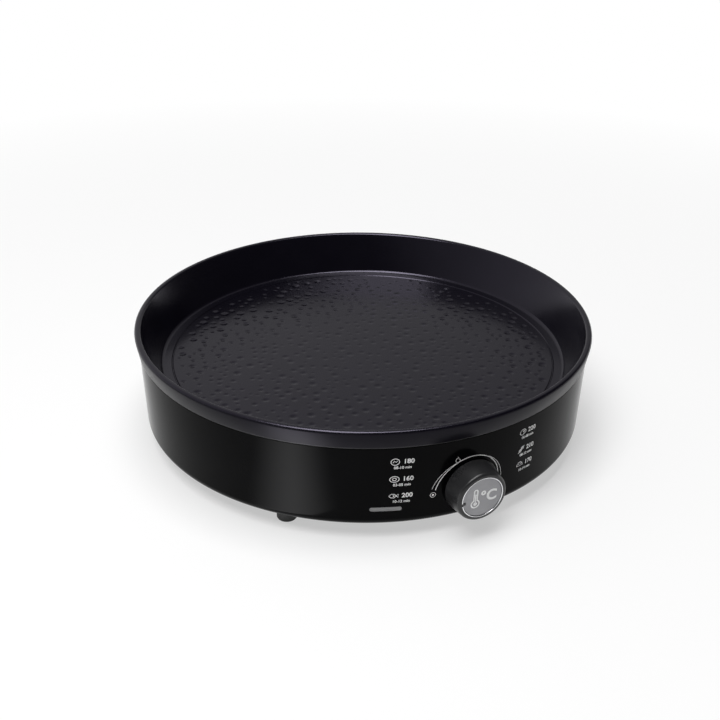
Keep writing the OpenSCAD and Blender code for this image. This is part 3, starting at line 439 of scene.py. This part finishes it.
def panOutline():
    flare = math.radians(pan["flare"])
    half = math.tan((math.pi / 2 - flare) / 2)
    floor = rimZ - pan["depth"]
    under = floor - pan["cast"]
    bandZ = rimZ - pan["bandHeight"]
    lipR = rimR - pan["lip"]
    floorR = lipR - pan["depth"] * math.tan(flare)
    filletAt = (floorR - pan["fillet"] * half, floor + pan["fillet"])
    lipIn = (lipR + pan["lipRound"] * half, rimZ - pan["lipRound"])
    lipOut = (rimR - pan["lipRound"], rimZ - pan["lipRound"])
    bandLean = math.degrees(math.atan(pan["bandTaper"] / (pan["bandHeight"] - pan["lipRound"])))
    grooveR = filletAt[0] - pan["ledge"]
    grooveZ = floor - pan["grooveDepth"]
    fieldR = grooveR - pan["groove"] / 2
    bedZ = floor - pan["fieldBed"]
    outerR = floorR + (bandZ - floor) * math.tan(flare) + pan["cast"] / math.cos(flare)
    bandLow = rimR - pan["bandTaper"]
    heaterR = (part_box("heater_tube")[1].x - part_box("heater_tube")[0].x) / 2 / mm - pan["heaterTubeR"]
    bossIn, bossOut, bossZ = heaterR - pan["bossHalf"], heaterR + pan["bossHalf"], under - pan["bossHeight"]
    outline = [(0, bedZ), (fieldR, bedZ), (fieldR, floor - pan["fieldEdge"]),
               (fieldR + pan["fieldEdge"], floor), (grooveR - pan["grooveFlat"], grooveZ),
               (grooveR + pan["grooveFlat"], grooveZ), (grooveR + pan["groove"] / 2, floor)]
    outline += arcPoints(filletAt, pan["fillet"], -90, -pan["flare"], count=12)
    outline += arcPoints(lipIn, pan["lipRound"], 180 - pan["flare"], 90)
    outline += arcPoints(lipOut, pan["lipRound"], 90, -bandLean, count=10)
    outline += [(bandLow + x, bandZ + z) for x, z in pan["bandRoll"]] + [(outerR, bandZ)]
    outline += arcPoints(filletAt, pan["fillet"] + pan["cast"], -pan["flare"], -90)
    outline += [(bossOut, under), (bossOut, bossZ), (bossIn, bossZ), (bossIn, under), (0, under)]
    return outline, fieldR, floor, bandZ, lipR, heaterR


outline, fieldR, floorZ, bandZ, lipR, heaterR = panOutline()
panCasting = spinOutline("panCasting", outline, pan["turns"])
postR = heaterR + pan["postOut"]
postTop = floorZ - pan["cast"]
for azimuth in pan["postAngles"]:
    at = panPlace @ Matrix.Rotation(math.radians(azimuth), 4, "Z") @ Matrix.Translation((0, -postR * mm, 0))
    post = rod("post", pan["postR"], postTop - pan["postLength"], postTop + pan["postSunk"], at)
    joinPieces(panCasting, post)
panCasting.data.materials.append(finishes["nonstick_coating"])
panCasting.data.materials.append(bandSatin)
for face in panCasting.data.polygons:
    out = math.hypot(face.center.x, face.center.y - axisY) / mm
    outside = out > lipR + pan["bandMargin"] and face.center.z / mm > bandZ - pan["bandMargin"]
    face.material_index = 1 if outside and abs(face.normal.z) < pan["bandSteep"] else 0
finishPiece(panCasting, "cooker", "nonstick_coating", "pan")


def dentPlaces():
    # blows of every size fall at random, but none on another
    chance = random.Random(hammer["seed"])
    cellSize = 2 * hammer["dentR"][1] + hammer["gap"]
    cells, places = {}, []
    while len(places) < hammer["dents"]:
        x, y = (chance.uniform(-fieldR, fieldR) for axis in "xy")
        size = chance.uniform(*hammer["dentR"])
        column, row = int(x // cellSize), int(y // cellSize)
        near = [p for i in (-1, 0, 1) for j in (-1, 0, 1) for p in cells.get((column + i, row + j), [])]
        clear = all(math.dist((x, y), p[:2]) > size + p[2] + hammer["gap"] for p in near)
        if clear and math.hypot(x, y) < fieldR - size - hammer["margin"]:
            cells.setdefault((column, row), []).append((x, y, size))
            places.append((x, y, size))
    return places


def hammeredField():
    # a six-sided fan is subdivided, rounded to a disc and beaten with shallow dents
    clearSelection()
    bpy.ops.mesh.primitive_circle_add(vertices=hammer["sides"], radius=fieldR * mm, fill_type="TRIFAN")
    piece = named(bpy.context.object, "panHammeredFloor")
    bpy.ops.object.mode_set(mode="EDIT")
    for cuts in hammer["cuts"]:
        bpy.ops.mesh.subdivide(number_cuts=cuts)
    bpy.ops.object.mode_set(mode="OBJECT")

    def roundOff(spots):
        half = math.pi / hammer["sides"]
        angle = np.arctan2(spots[:, 1], spots[:, 0])
        side = math.cos(half) / np.cos(np.mod(angle - math.pi / 2, 2 * half) - half)
        spots[:, :2] /= side[:, None]
        return spots
    moveVertices(piece, roundOff)
    dents = dentPlaces()
    tree = kdtree.KDTree(len(dents))
    for index, (x, y, size) in enumerate(dents):
        tree.insert((x, y, 0), index)
    tree.balance()

    def beat(spots):
        found = [tree.find((x, y, 0)) for x, y, z in spots]
        size = np.array([dents[index][2] for spot, index, distance in found])
        near = np.array([distance for spot, index, distance in found]) / size
        # the blows fall harder towards the edge
        out = np.hypot(spots[:, 0], spots[:, 1]) / fieldR
        depth = size * np.interp(out ** 2, (0, 1), hammer["depth"])
        spots[:, 2] -= depth * np.clip(1 - near ** 2, 0, 1) ** 2
        return spots
    moveVertices(piece, beat)
    # its edge is drawn down and closed below, so that the field is a plate
    bpy.ops.object.mode_set(mode="EDIT")
    bpy.ops.mesh.select_all(action="SELECT")
    bpy.ops.mesh.region_to_loop()
    bpy.ops.mesh.extrude_region_move(TRANSFORM_OT_translate={"value": (0, 0, -hammer["thick"] * mm)})
    bpy.ops.mesh.edge_face_add()
    closeEdit()
    return shadeSoft(applyPlace(piece, panPlace @ Matrix.Translation((0, 0, floorZ * mm))))


panFloor = finishPiece(hammeredField(), "cooker", "nonstick_coating")
print("pan spun, floor hammered:", len(panFloor.data.polygons), "faces")

# Housing: a spun shell with a rolled lower edge, an inner ledge, a shaft hole, a lamp slot and an inlet seat
lamp = {"azimuth": -20, "rise": 13.5, "length": 20, "height": 2.8, "proud": 0.25, "deep": 2.6, "edge": 0.35,
        "play": 0.1, "slotIn": 5, "slotOut": 3, "slotEdge": 0.02}
lampZ = shellBaseZ + lamp["rise"]
inletLow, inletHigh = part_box("power_inlet")
inletAt = Vector((0, inletHigh.y, (inletLow.z + inletHigh.z) / 2))
inletCut = {"width": 50.6, "height": 26.6, "deep": 60, "bodyWidth": 28.6, "bodyHeight": 20.6, "pad": 4,
            "padBack": 6}


def housingOutline():
    low, top, lean = shellBaseZ, shellTopZ, math.degrees(knobLean)
    edge, wall = housing["bottomRound"], housing["wall"]
    edgeAt = (wallR(low + edge) - edge / math.cos(knobLean), low + edge)
    coverR = wallR(low) - housing["coverEdge"]
    ledgeR, seatR = coverR - housing["ledge"], coverR + housing["coverPlay"]
    ledgeTop, ledgeLow = low + housing["ledgeTop"], low + housing["ledgeLow"]
    outline = arcPoints(edgeAt, edge, -90, -lean, count=14)
    outline += [(wallR(top - housing["topEdge"]), top - housing["topEdge"])]
    outline += [(shellTopR + x, top + z) for x, z in housing["topRoll"]]
    outline += [(shellTopR - wall, top), (wallR(ledgeTop) - wall, ledgeTop), (ledgeR, ledgeTop),
                (ledgeR, ledgeLow), (seatR, ledgeLow), (seatR, low)]
    return outline + outline[:1]


housingShell = spinOutline("housingShell", housingOutline(), housing["turns"])
reach = housing["shaftHoleReach"]
cutAway(housingShell, rod("shaftHole", housing["shaftHoleR"], -reach, reach, knobPlace))
lampSlot = roundedBar("lampSlot", lamp["length"] + 2 * lamp["play"], lamp["height"] + 2 * lamp["play"],
                      -lamp["slotIn"], lamp["slotOut"], lamp["slotEdge"])
cutAway(housingShell, layOnWall(lampSlot, lamp["azimuth"], lampZ))
cutAway(housingShell, block("inletHole", (inletCut["width"], inletCut["deep"], inletCut["height"]),
                            Matrix.Translation(inletAt)))
padAt = Matrix.Translation(inletAt - Vector((0, inletCut["padBack"] * mm, 0)))
inletPad = block("inletPad", (inletCut["width"], inletCut["pad"], inletCut["height"]), padAt)
cutAway(inletPad, block("bodyHole", (inletCut["bodyWidth"], inletCut["deep"], inletCut["bodyHeight"]), padAt))
joinPieces(housingShell, inletPad)
finishPiece(shadeSoft(housingShell), "cooker", "housing_gloss_black", "housing")

# Seal: a thin ring between pan and housing
seal = {"wall": 2.4, "proud": 0.2, "thick": 0.6, "edge": 0.2}
sealIn, sealOut = shellTopR - seal["wall"], shellTopR + seal["proud"]
sealLow, sealTop = shellTopZ, shellTopZ + seal["thick"]
sealOutline = [(sealIn, sealLow), (sealOut - seal["edge"], sealLow), (sealOut, sealLow + seal["edge"]),
               (sealOut, sealTop - seal["edge"]), (sealOut - seal["edge"], sealTop), (sealIn, sealTop),
               (sealIn, sealLow)]
sealRing = spinOutline("sealRing", sealOutline, housing["turns"])
finishPiece(sealRing, "cooker", "silicone_black", "pan_seal")
print("housing and seal made")

# Lamp window: a bar with round ends that follows the wall
lampWindow = roundedBar("lampWindow", lamp["length"], lamp["height"], -lamp["deep"], lamp["proud"],
                        lamp["edge"])
layOnWall(lampWindow, lamp["azimuth"], lampZ)
finishPiece(lampWindow, "cooker", "lens_frosted", "indicator_lens")

# Knob: a tapered cap with a soft front edge, a pocket for disc and ring, and a pointer at the off place
knob = {"back": 1, "face": 15.5, "backR": 18.5, "backEdge": 0.3, "backDraw": 0.02, "frontR": 17, "edge": 2.2,
        "edgeTurn": 84, "skin": 2, "innerStep": 0.8, "pocketR": 14.5, "recess": 1.5,
        "pocketRoll": ((0.15, -0.04), (0, -0.2)), "hubR": 5.5, "hubShort": 1, "offAngle": 188, "turns": 160}
pointer = {"size": (3, 2, 1.3), "bevel": 0.25, "inwards": 1.4, "sunk": 0.95}
faceZ, pocketR = knob["face"], knob["pocketR"]
pocketZ = faceZ - knob["recess"]
innerZ = pocketZ - knob["skin"]
skirtR = knob["backR"] - knob["skin"]
edgeAt = (knob["frontR"] - knob["edge"], faceZ - knob["edge"])
knobOutline = [(skirtR, knob["back"]), (knob["backR"] - knob["backEdge"], knob["back"]),
               (knob["backR"] - knob["backDraw"], knob["back"] + knob["backEdge"])]
knobOutline += arcPoints(edgeAt, knob["edge"], 0, knob["edgeTurn"], count=10)
knobOutline += [(pocketR + x, faceZ + z) for x, z in knob["pocketRoll"]]
knobOutline += [(pocketR, pocketZ), (0, pocketZ), (0, innerZ),
                (knob["frontR"] - knob["skin"] - knob["innerStep"], innerZ), (skirtR, knob["back"])]
knobCap = spinOutline("knobCap", knobOutline, knob["turns"], knobPlace)
offPlace = knobPlace @ Matrix.Rotation(math.radians(knob["offAngle"]), 4, "Z")
pointerAt = Matrix.Translation(((pocketR - pointer["inwards"]) * mm, 0, (faceZ - pointer["sunk"]) * mm))
joinPieces(knobCap, block("pointer", pointer["size"], offPlace @ pointerAt, bevel=pointer["bevel"]))
hub = rod("hub", knob["hubR"], knob["back"] + knob["hubShort"], pocketZ - knob["hubShort"], knobPlace)
joinPieces(knobCap, hub)
finishPiece(knobCap, "knob", "knob_satin_black", "knob_body")

# Disc and ring in the knob's face, both notched for the pointer
disc = {"r": 13.6, "sunk": 0.5, "thick": 1, "edge": ((-0.1, -1), (-0.05, -0.25), (-0.3, 0))}
ring = {"width": 0.8, "play": 0.05}
notch = {"size": 10, "play": 0.2, "out": 2}
discTop = faceZ - disc["sunk"]
discOutline = [(0, discTop - disc["thick"])] + [(disc["r"] + x, discTop + z) for x, z in disc["edge"]]
knobDisc = spinOutline("knobDisc", discOutline + [(0, discTop)], knob["turns"], knobPlace)
ringIn, ringHalf = disc["r"] + ring["play"], ring["width"] / 2
ringOutline = [(ringIn, pocketZ)] + arcPoints((ringIn + ringHalf, faceZ - ringHalf), ringHalf, 180, 0)
ringOutline += [(ringIn + ring["width"], pocketZ), (ringIn, pocketZ)]
knobRing = spinOutline("knobRing", ringOutline, knob["turns"], knobPlace)
notchSize = (notch["size"], pointer["size"][1] + notch["play"], notch["size"])
notchAt = offPlace @ Matrix.Translation(((pocketR + notch["out"]) * mm, 0, faceZ * mm))
for piece in (knobDisc, knobRing):
    shadeSoft(cutAway(piece, block("notch", notchSize, notchAt)))
finishPiece(knobDisc, "knob", "disc_aluminium", "knob_disc")
finishPiece(knobRing, "knob", "trim_chrome", "knob_trim_ring")
print("knob made")

# Signs: white ink, a heat scale round the knob, two columns of dishes and times, a thermometer on the disc
sign = {"line": 0.55, "thinLine": 0.3, "iconLine": 0.42}
scale = {"r": 20.7, "offR": 24.2, "windFrom": 125, "windOver": 60, "windPower": 1.6, "arc": (-20, 181, 3),
         "offAt": (186, 0.8), "offRingR": 1.75, "offDotR": 0.37, "offDotLine": 0.66, "offDotSides": 10,
         "flameAt": (116, 1.9),
         "flame": ((0, 2.2), (-0.9, 0.9), (-1.5, -0.1), (-1.3, -1.2), (-0.5, -1.8), (0.5, -1.8), (1.3, -1.2),
                   (1.5, -0.1), (1.0, 0.5), (0.6, 0.1), (0.4, 1.2))}
# thin lines that part from the scale on both sides of its top
partings = [
    {"arc": (119, 178, 3), "start": 118, "over": 60, "reach": 2.6, "power": 0.8},
    {"arc": (-19, 60, 3), "start": 60, "over": -52, "reach": 2.2, "power": 0.9},
]


def scalePoint(angle, out=0.0):
    # the scale winds out towards the off place
    share = max(0.0, (angle - scale["windFrom"]) / scale["windOver"])
    r = scale["r"] + (scale["offR"] - scale["r"]) * share ** scale["windPower"] + out
    return r * math.cos(math.radians(angle)), r * math.sin(math.radians(angle))


def partingLine(arc, start, over, reach, power):
    points = [scalePoint(a, reach * ((a - start) / over) ** power) for a in range(*arc)]
    return stroke(points, sign["thinLine"])


def heatScale():
    offAt = scalePoint(*scale["offAt"])
    inks = [stroke([scalePoint(a) for a in range(*scale["arc"])], sign["line"])]
    inks += [partingLine(**parting) for parting in partings]
    offRing = ellipse(scale["offRingR"], scale["offRingR"])
    inks.append(stroke(shifted(offRing, *offAt), sign["thinLine"], closed=True))
    offDot = ellipse(scale["offDotR"], scale["offDotR"], scale["offDotSides"])
    inks.append(stroke(shifted(offDot, *offAt), scale["offDotLine"], closed=True))
    flame = shifted(scale["flame"], *scalePoint(*scale["flameAt"]))
    inks.append(stroke(flame, sign["thinLine"], closed=True))
    return named(joinPieces(*inks), "heatScale")


scalePiece = layOnWall(heatScale(), 0, knobJoint["pos_m"][2] / mm)
finishPiece(scalePiece, "cooker", "housing_gloss_black", material=whiteInk)

# each dish is a list of lines, told by their points and whether they close
dishes = {
    "flatbread": [(ellipse(2.6, 2.3), True), ([(-1.3, -0.6), (-0.4, 0.9), (0.5, -0.3), (1.4, 0.8)], False)],
    "egg": [(ellipse(2.9, 2.1), True), (ellipse(1.2, 0.95, 18), True)],
    "fish": [([(-2.9, 0), (-1.6, 1.4), (0.4, 1.3), (1.6, 0.1), (2.9, 1.2), (2.7, -1.2), (1.6, -0.1),
               (0.3, -1.4), (-1.7, -1.3)], True), (ellipse(0.25, 0.25, 8), True)],
    "steak": [([(-2.4, -1.2), (-2.5, 0.6), (-1.2, 1.9), (0.9, 2.1), (2.4, 1.0), (2.3, -0.6), (0.9, -1.4),
                (-0.6, -2.0)], True), (shifted(ellipse(0.7, 0.55, 14), 0.6, 0.5), True)],
    "skewer": [([(-2.4, -2.4), (2.4, 2.4)], False), (shifted(ellipse(1.0, 0.9, 16), -0.8, -0.8), True),
               (shifted(ellipse(1.0, 0.9, 16), 0.9, 0.9), True)],
    "dumpling": [([(-2.6, -0.9), (-2.0, 0.8), (-0.8, 1.8), (0.8, 1.8), (2.0, 0.8), (2.6, -0.9)], True),
                 ([(-0.9, 1.0), (-0.6, 0.1)], False), ([(0.6, 1.1), (0.7, 0.1)], False)],
}
columns = [
    {"name": "leftGuide", "icon": -49.8, "figures": -41.4, "line": -45.0,
     "rows": [(57.4, "flatbread", "180", "08-10"), (44.7, "egg", "160", "03-05"),
              (32.3, "fish", "200", "10-12")]},
    {"name": "rightGuide", "icon": 39.2, "figures": 47.3, "line": 43.9,
     "rows": [(58.0, "steak", "220", "06-08"), (44.9, "skewer", "210", "08-12"),
              (33.4, "dumpling", "170", "10-14")]},
]
guide = {"figureSize": 4.6, "lineSize": 2.7, "lineDrop": 4.3, "shownZ": 80}
for column in columns:
    inks = []
    for z, dish, heat, minutes in column["rows"]:
        z += rimZ - guide["shownZ"]
        for points, closed in dishes[dish]:
            inks.append(stroke(shifted(points, column["icon"], z), sign["iconLine"], closed))
        inks.append(figures(heat, guide["figureSize"], (column["figures"], z)))
        inks.append(figures(minutes + " min", guide["lineSize"], (column["line"], z - guide["lineDrop"])))
    ink = layOnWall(named(joinPieces(*inks), column["name"]), 0, 0)
    finishPiece(ink, "cooker", "housing_gloss_black", material=whiteInk)

gauge = {"at": (-4.8, 0), "scale": 1.3, "line": 0.95, "tubeAt": (0, 4.1), "tubeR": 0.9, "bulbAt": (0, -2.9),
         "bulbR": 2.1, "bulbArc": (64.6, -244.6), "column": ((0, 2.6), (0, -2.2)), "columnLine": 0.8,
         "dotAt": (-4.8, -3.8), "dotR": 0.75, "dotLine": 1.1, "dotSides": 14}
unit = {"words": "°C", "size": 10.5, "at": (4.3, 0), "weight": 0.03, "curve": 10}
thermometer = arcPoints(gauge["tubeAt"], gauge["tubeR"], 180, 0, count=10)
thermometer += arcPoints(gauge["bulbAt"], gauge["bulbR"], *gauge["bulbArc"], count=26)
gaugeDot = ellipse(gauge["dotR"], gauge["dotR"], gauge["dotSides"])
inks = [stroke(shifted(thermometer, *gauge["at"], gauge["scale"]), gauge["line"], closed=True),
        stroke(shifted(gauge["column"], *gauge["at"], gauge["scale"]), gauge["columnLine"]),
        stroke(shifted(gaugeDot, *gauge["dotAt"]), gauge["dotLine"], closed=True), figures(**unit)]
knobSign = named(joinPieces(*inks), "knobSign")
applyPlace(knobSign, knobPlace @ Matrix.Translation((0, 0, discTop * mm)))
finishPiece(knobSign, "knob", "disc_aluminium", material=whiteInk)
print("signs printed")

# Feet: turned rubber with a soft sole edge, a bore for the screw's head and a neck, one made and copied
foot = {"r": 6.6, "edge": 1.8, "holeR": 1.6, "boreR": 3.4, "boreDepth": 2.2, "boreEdge": 0.25, "turns": 72,
        "neck": ((0, -1.6), (-0.5, -1.3), (-0.5, -0.7), (0, -0.4), (0, 0))}
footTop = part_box("foot_front_left")[1].z / mm
footOutline = [(foot["holeR"], footTop), (foot["holeR"], foot["boreDepth"]),
               (foot["boreR"], foot["boreDepth"]), (foot["boreR"], foot["boreEdge"]),
               (foot["boreR"] + foot["boreEdge"], 0)]
footOutline += arcPoints((foot["r"] - foot["edge"], foot["edge"]), foot["edge"], -90, 0)
footOutline += [(foot["r"] + x, footTop + z) for x, z in foot["neck"]] + [(foot["holeR"], footTop)]
firstFoot = spinOutline("footFirst", footOutline, foot["turns"], Matrix.Identity(4))
for corner in ("front_left", "front_right", "rear_left", "rear_right"):
    low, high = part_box("foot_" + corner)
    pickOnly(firstFoot)
    bpy.ops.object.duplicate(linked=False)
    footCopy = named(bpy.context.object, "rubberFoot_" + corner)
    applyPlace(footCopy, Matrix.Translation(((low.x + high.x) / 2, (low.y + high.y) / 2, 0)))
    finishPiece(footCopy, "cooker", "foot_rubber", "foot_" + corner)
bpy.data.objects.remove(firstFoot)
print("feet made")

# Mains inlet and its blades: copies of their solids with softened edges
inletEdge = {"width": 0.35, "segments": 2, "sharp": 40, "flat": 1}
inletPieces = [("power_inlet", "mainsInlet", "base_plastic"), ("inlet_pins", "inletBlades", "brass_contact")]


def softened(node, name):
    mesh = cadNodes[node].data.copy()
    piece = bpy.data.objects.new(name, mesh)
    bpy.context.scene.collection.objects.link(piece)
    pickOnly(piece)
    bpy.ops.object.mode_set(mode="EDIT")
    weldAll(weld["solid"])
    bpy.ops.mesh.dissolve_limited(angle_limit=math.radians(inletEdge["flat"]))
    closeEdit()
    edges = piece.modifiers.new("edges", "BEVEL")
    edges.width = inletEdge["width"] * mm
    edges.segments = inletEdge["segments"]
    edges.limit_method = "ANGLE"
    edges.angle_limit = math.radians(inletEdge["sharp"])
    bpy.ops.object.modifier_apply(modifier=edges.name)
    return shadeSoft(piece)


for node, name, slot in inletPieces:
    finishPiece(softened(node, name), "cooker", slot, node)
print("inlet softened")

# Camera: the photograph's view, from the left of the knob and above the rim
view = {"turn": 25.54, "back": 721.6, "above": 345.3, "aimTurn": 0.156, "aimDown": 27.88, "roll": 0.62,
        "lens": 56.36, "sensor": 36, "clip": 0.01}
turn = math.radians(-view["turn"])
rimMiddle = Vector((0, axisY, rimZ * mm))
cameraAt = Matrix.Rotation(turn, 4, "Z") @ Vector((0, -view["back"], view["above"])) * mm + rimMiddle
aim = (Matrix.Rotation(turn + math.radians(view["aimTurn"]), 4, "Z")
       @ Matrix.Rotation(math.radians(90 - view["aimDown"]), 4, "X")
       @ Matrix.Rotation(math.radians(view["roll"]), 4, "Z"))
clearSelection()
bpy.ops.object.camera_add(location=cameraAt, rotation=aim.to_euler())
camera = bpy.context.object
camera.data.lens, camera.data.sensor_width = view["lens"], view["sensor"]
camera.data.clip_start = view["clip"]
bpy.context.scene.camera = camera

# Studio: a white table, a dim room with a pale horizon and a paler far side, a soft box above and a low strip
studio = {"tableSize": 60, "tableTone": 0.86, "tableRough": 0.9, "glow": 0.5, "glowFrom": 0.3, "glowTo": 0.9,
          "near": 0.035, "far": 0.62, "farFrom": -0.3, "farSide": (-0.5, 0.866, 0), "horizon": 1.0,
          "bandLow": 0.04, "bandHigh": 0.1}
softBoxes = [
    {"name": "overhead", "at": (-0.2, -0.3, 1.7), "size": (0.8, 1.7), "power": 34},
    {"name": "lowStrip", "at": (-0.0585, -0.174, 0.0245), "size": (0.078, 0.06), "power": 0.028,
     "heading": -35.3, "raise": 37.7, "spread": 100},
]


def fromView(right, ahead, up):
    # a place told from the pan's axis as the camera sees it
    return Matrix.Rotation(turn, 3, "Z") @ Vector((right, ahead, up)) + Vector((0, axisY, 0))


def makeTable():
    clearSelection()
    bpy.ops.mesh.primitive_plane_add(size=studio["tableSize"])
    table = bpy.context.object
    table.name = "studioTable"
    paint = bpy.data.materials.new("tableWhite")
    paint.use_nodes = True
    tree = paint.node_tree
    link = tree.links.new
    shader, output = tree.nodes["Principled BSDF"], tree.nodes["Material Output"]
    setInputs(shader, {"Base Color": (studio["tableTone"],) * 3 + (1,), "Roughness": studio["tableRough"],
                       "Specular IOR Level": 0})
    # seen straight, in a reflection or through glass, the table is part white, and all white further off
    glow = addNode(tree, "ShaderNodeEmission")
    path = addNode(tree, "ShaderNodeLightPath")
    seen = addNode(tree, "ShaderNodeMath", operation="ADD")
    shown = addNode(tree, "ShaderNodeMath", operation="ADD")
    seen.use_clamp = shown.use_clamp = True
    place = addNode(tree, "ShaderNodeTexCoord")
    away = addNode(tree, "ShaderNodeVectorMath", operation="LENGTH")
    whiter = addNode(tree, "ShaderNodeMapRange", {"From Min": studio["glowFrom"],
                                                  "From Max": studio["glowTo"], "To Min": studio["glow"]})
    share = addNode(tree, "ShaderNodeMath", operation="MULTIPLY")
    mix = addNode(tree, "ShaderNodeMixShader")
    link(path.outputs["Is Camera Ray"], seen.inputs[0])
    link(path.outputs["Is Glossy Ray"], seen.inputs[1])
    link(seen.outputs[0], shown.inputs[0])
    link(path.outputs["Is Transmission Ray"], shown.inputs[1])
    link(place.outputs["Object"], away.inputs[0])
    link(away.outputs["Value"], whiter.inputs["Value"])
    link(shown.outputs[0], share.inputs[0])
    link(whiter.outputs["Result"], share.inputs[1])
    link(share.outputs[0], mix.inputs["Fac"])
    link(shader.outputs["BSDF"], mix.inputs[1])
    link(glow.outputs["Emission"], mix.inputs[2])
    link(mix.outputs["Shader"], output.inputs["Surface"])
    table.data.materials.append(paint)


def makeRoom():
    world = bpy.data.worlds.new("studioRoom")
    bpy.context.scene.world = world
    world.use_nodes = True
    tree = world.node_tree
    link = tree.links.new
    background = tree.nodes["Background"]
    direction = addNode(tree, "ShaderNodeTexCoord")
    towards = addNode(tree, "ShaderNodeVectorMath", {1: studio["farSide"]}, "DOT_PRODUCT")
    side = addNode(tree, "ShaderNodeMapRange", {"From Min": studio["farFrom"], "To Min": studio["near"],
                                                "To Max": studio["far"]})
    split = addNode(tree, "ShaderNodeSeparateXYZ")
    band = addNode(tree, "ShaderNodeMapRange", {"From Min": studio["bandLow"], "From Max": studio["bandHigh"],
                                                "To Min": studio["horizon"], "To Max": 0})
    band.interpolation_type = "SMOOTHSTEP"
    strength = addNode(tree, "ShaderNodeMath", operation="MAXIMUM")
    link(direction.outputs["Generated"], towards.inputs[0])
    link(direction.outputs["Generated"], split.inputs["Vector"])
    link(towards.outputs["Value"], side.inputs["Value"])
    link(split.outputs["Z"], band.inputs["Value"])
    link(side.outputs["Result"], strength.inputs[0])
    link(band.outputs["Result"], strength.inputs[1])
    link(strength.outputs[0], background.inputs["Strength"])
    setInputs(background, {"Color": (1, 1, 1, 1)})


def fadeAcross(light):
    # bright along the middle, fading to the left and right edges
    light.use_nodes = True
    tree = light.node_tree
    link = tree.links.new
    middle = 0.5
    place = addNode(tree, "ShaderNodeNewGeometry")
    split = addNode(tree, "ShaderNodeSeparateXYZ")
    wave = addNode(tree, "ShaderNodeMath", {1: middle}, "PINGPONG")
    fade = addNode(tree, "ShaderNodeMapRange", {"From Max": middle})
    fade.interpolation_type = "SMOOTHSTEP"
    link(place.outputs["Parametric"], split.inputs["Vector"])
    link(split.outputs["X"], wave.inputs[0])
    link(wave.outputs[0], fade.inputs["Value"])
    link(fade.outputs["Result"], tree.nodes["Emission"].inputs["Strength"])


makeTable()
makeRoom()
for box in softBoxes:
    spot = fromView(*box["at"])
    facing = (fromView(0, 0, 0) - spot).to_track_quat("-Z", "Y").to_matrix()
    if "heading" in box:
        # the strip stands low over the table and faces the housing, for the streak in it
        facing = (Matrix.Rotation(turn + math.radians(box["heading"]), 3, "Z")
                  @ Matrix.Rotation(math.radians(90 + box["raise"]), 3, "X"))
    bpy.ops.object.light_add(type="AREA", location=spot, rotation=facing.to_euler())
    softBox = bpy.context.object
    softBox.name = box["name"]
    softBox.data.shape = "RECTANGLE"
    softBox.data.size, softBox.data.size_y = box["size"]
    softBox.data.energy = box["power"]
    softBox.visible_camera = False
    if "spread" in box:
        softBox.data.spread = math.radians(box["spread"])
        fadeAcross(softBox.data)

bpy.context.scene.view_settings.view_transform = "Standard"
print("studio lit")
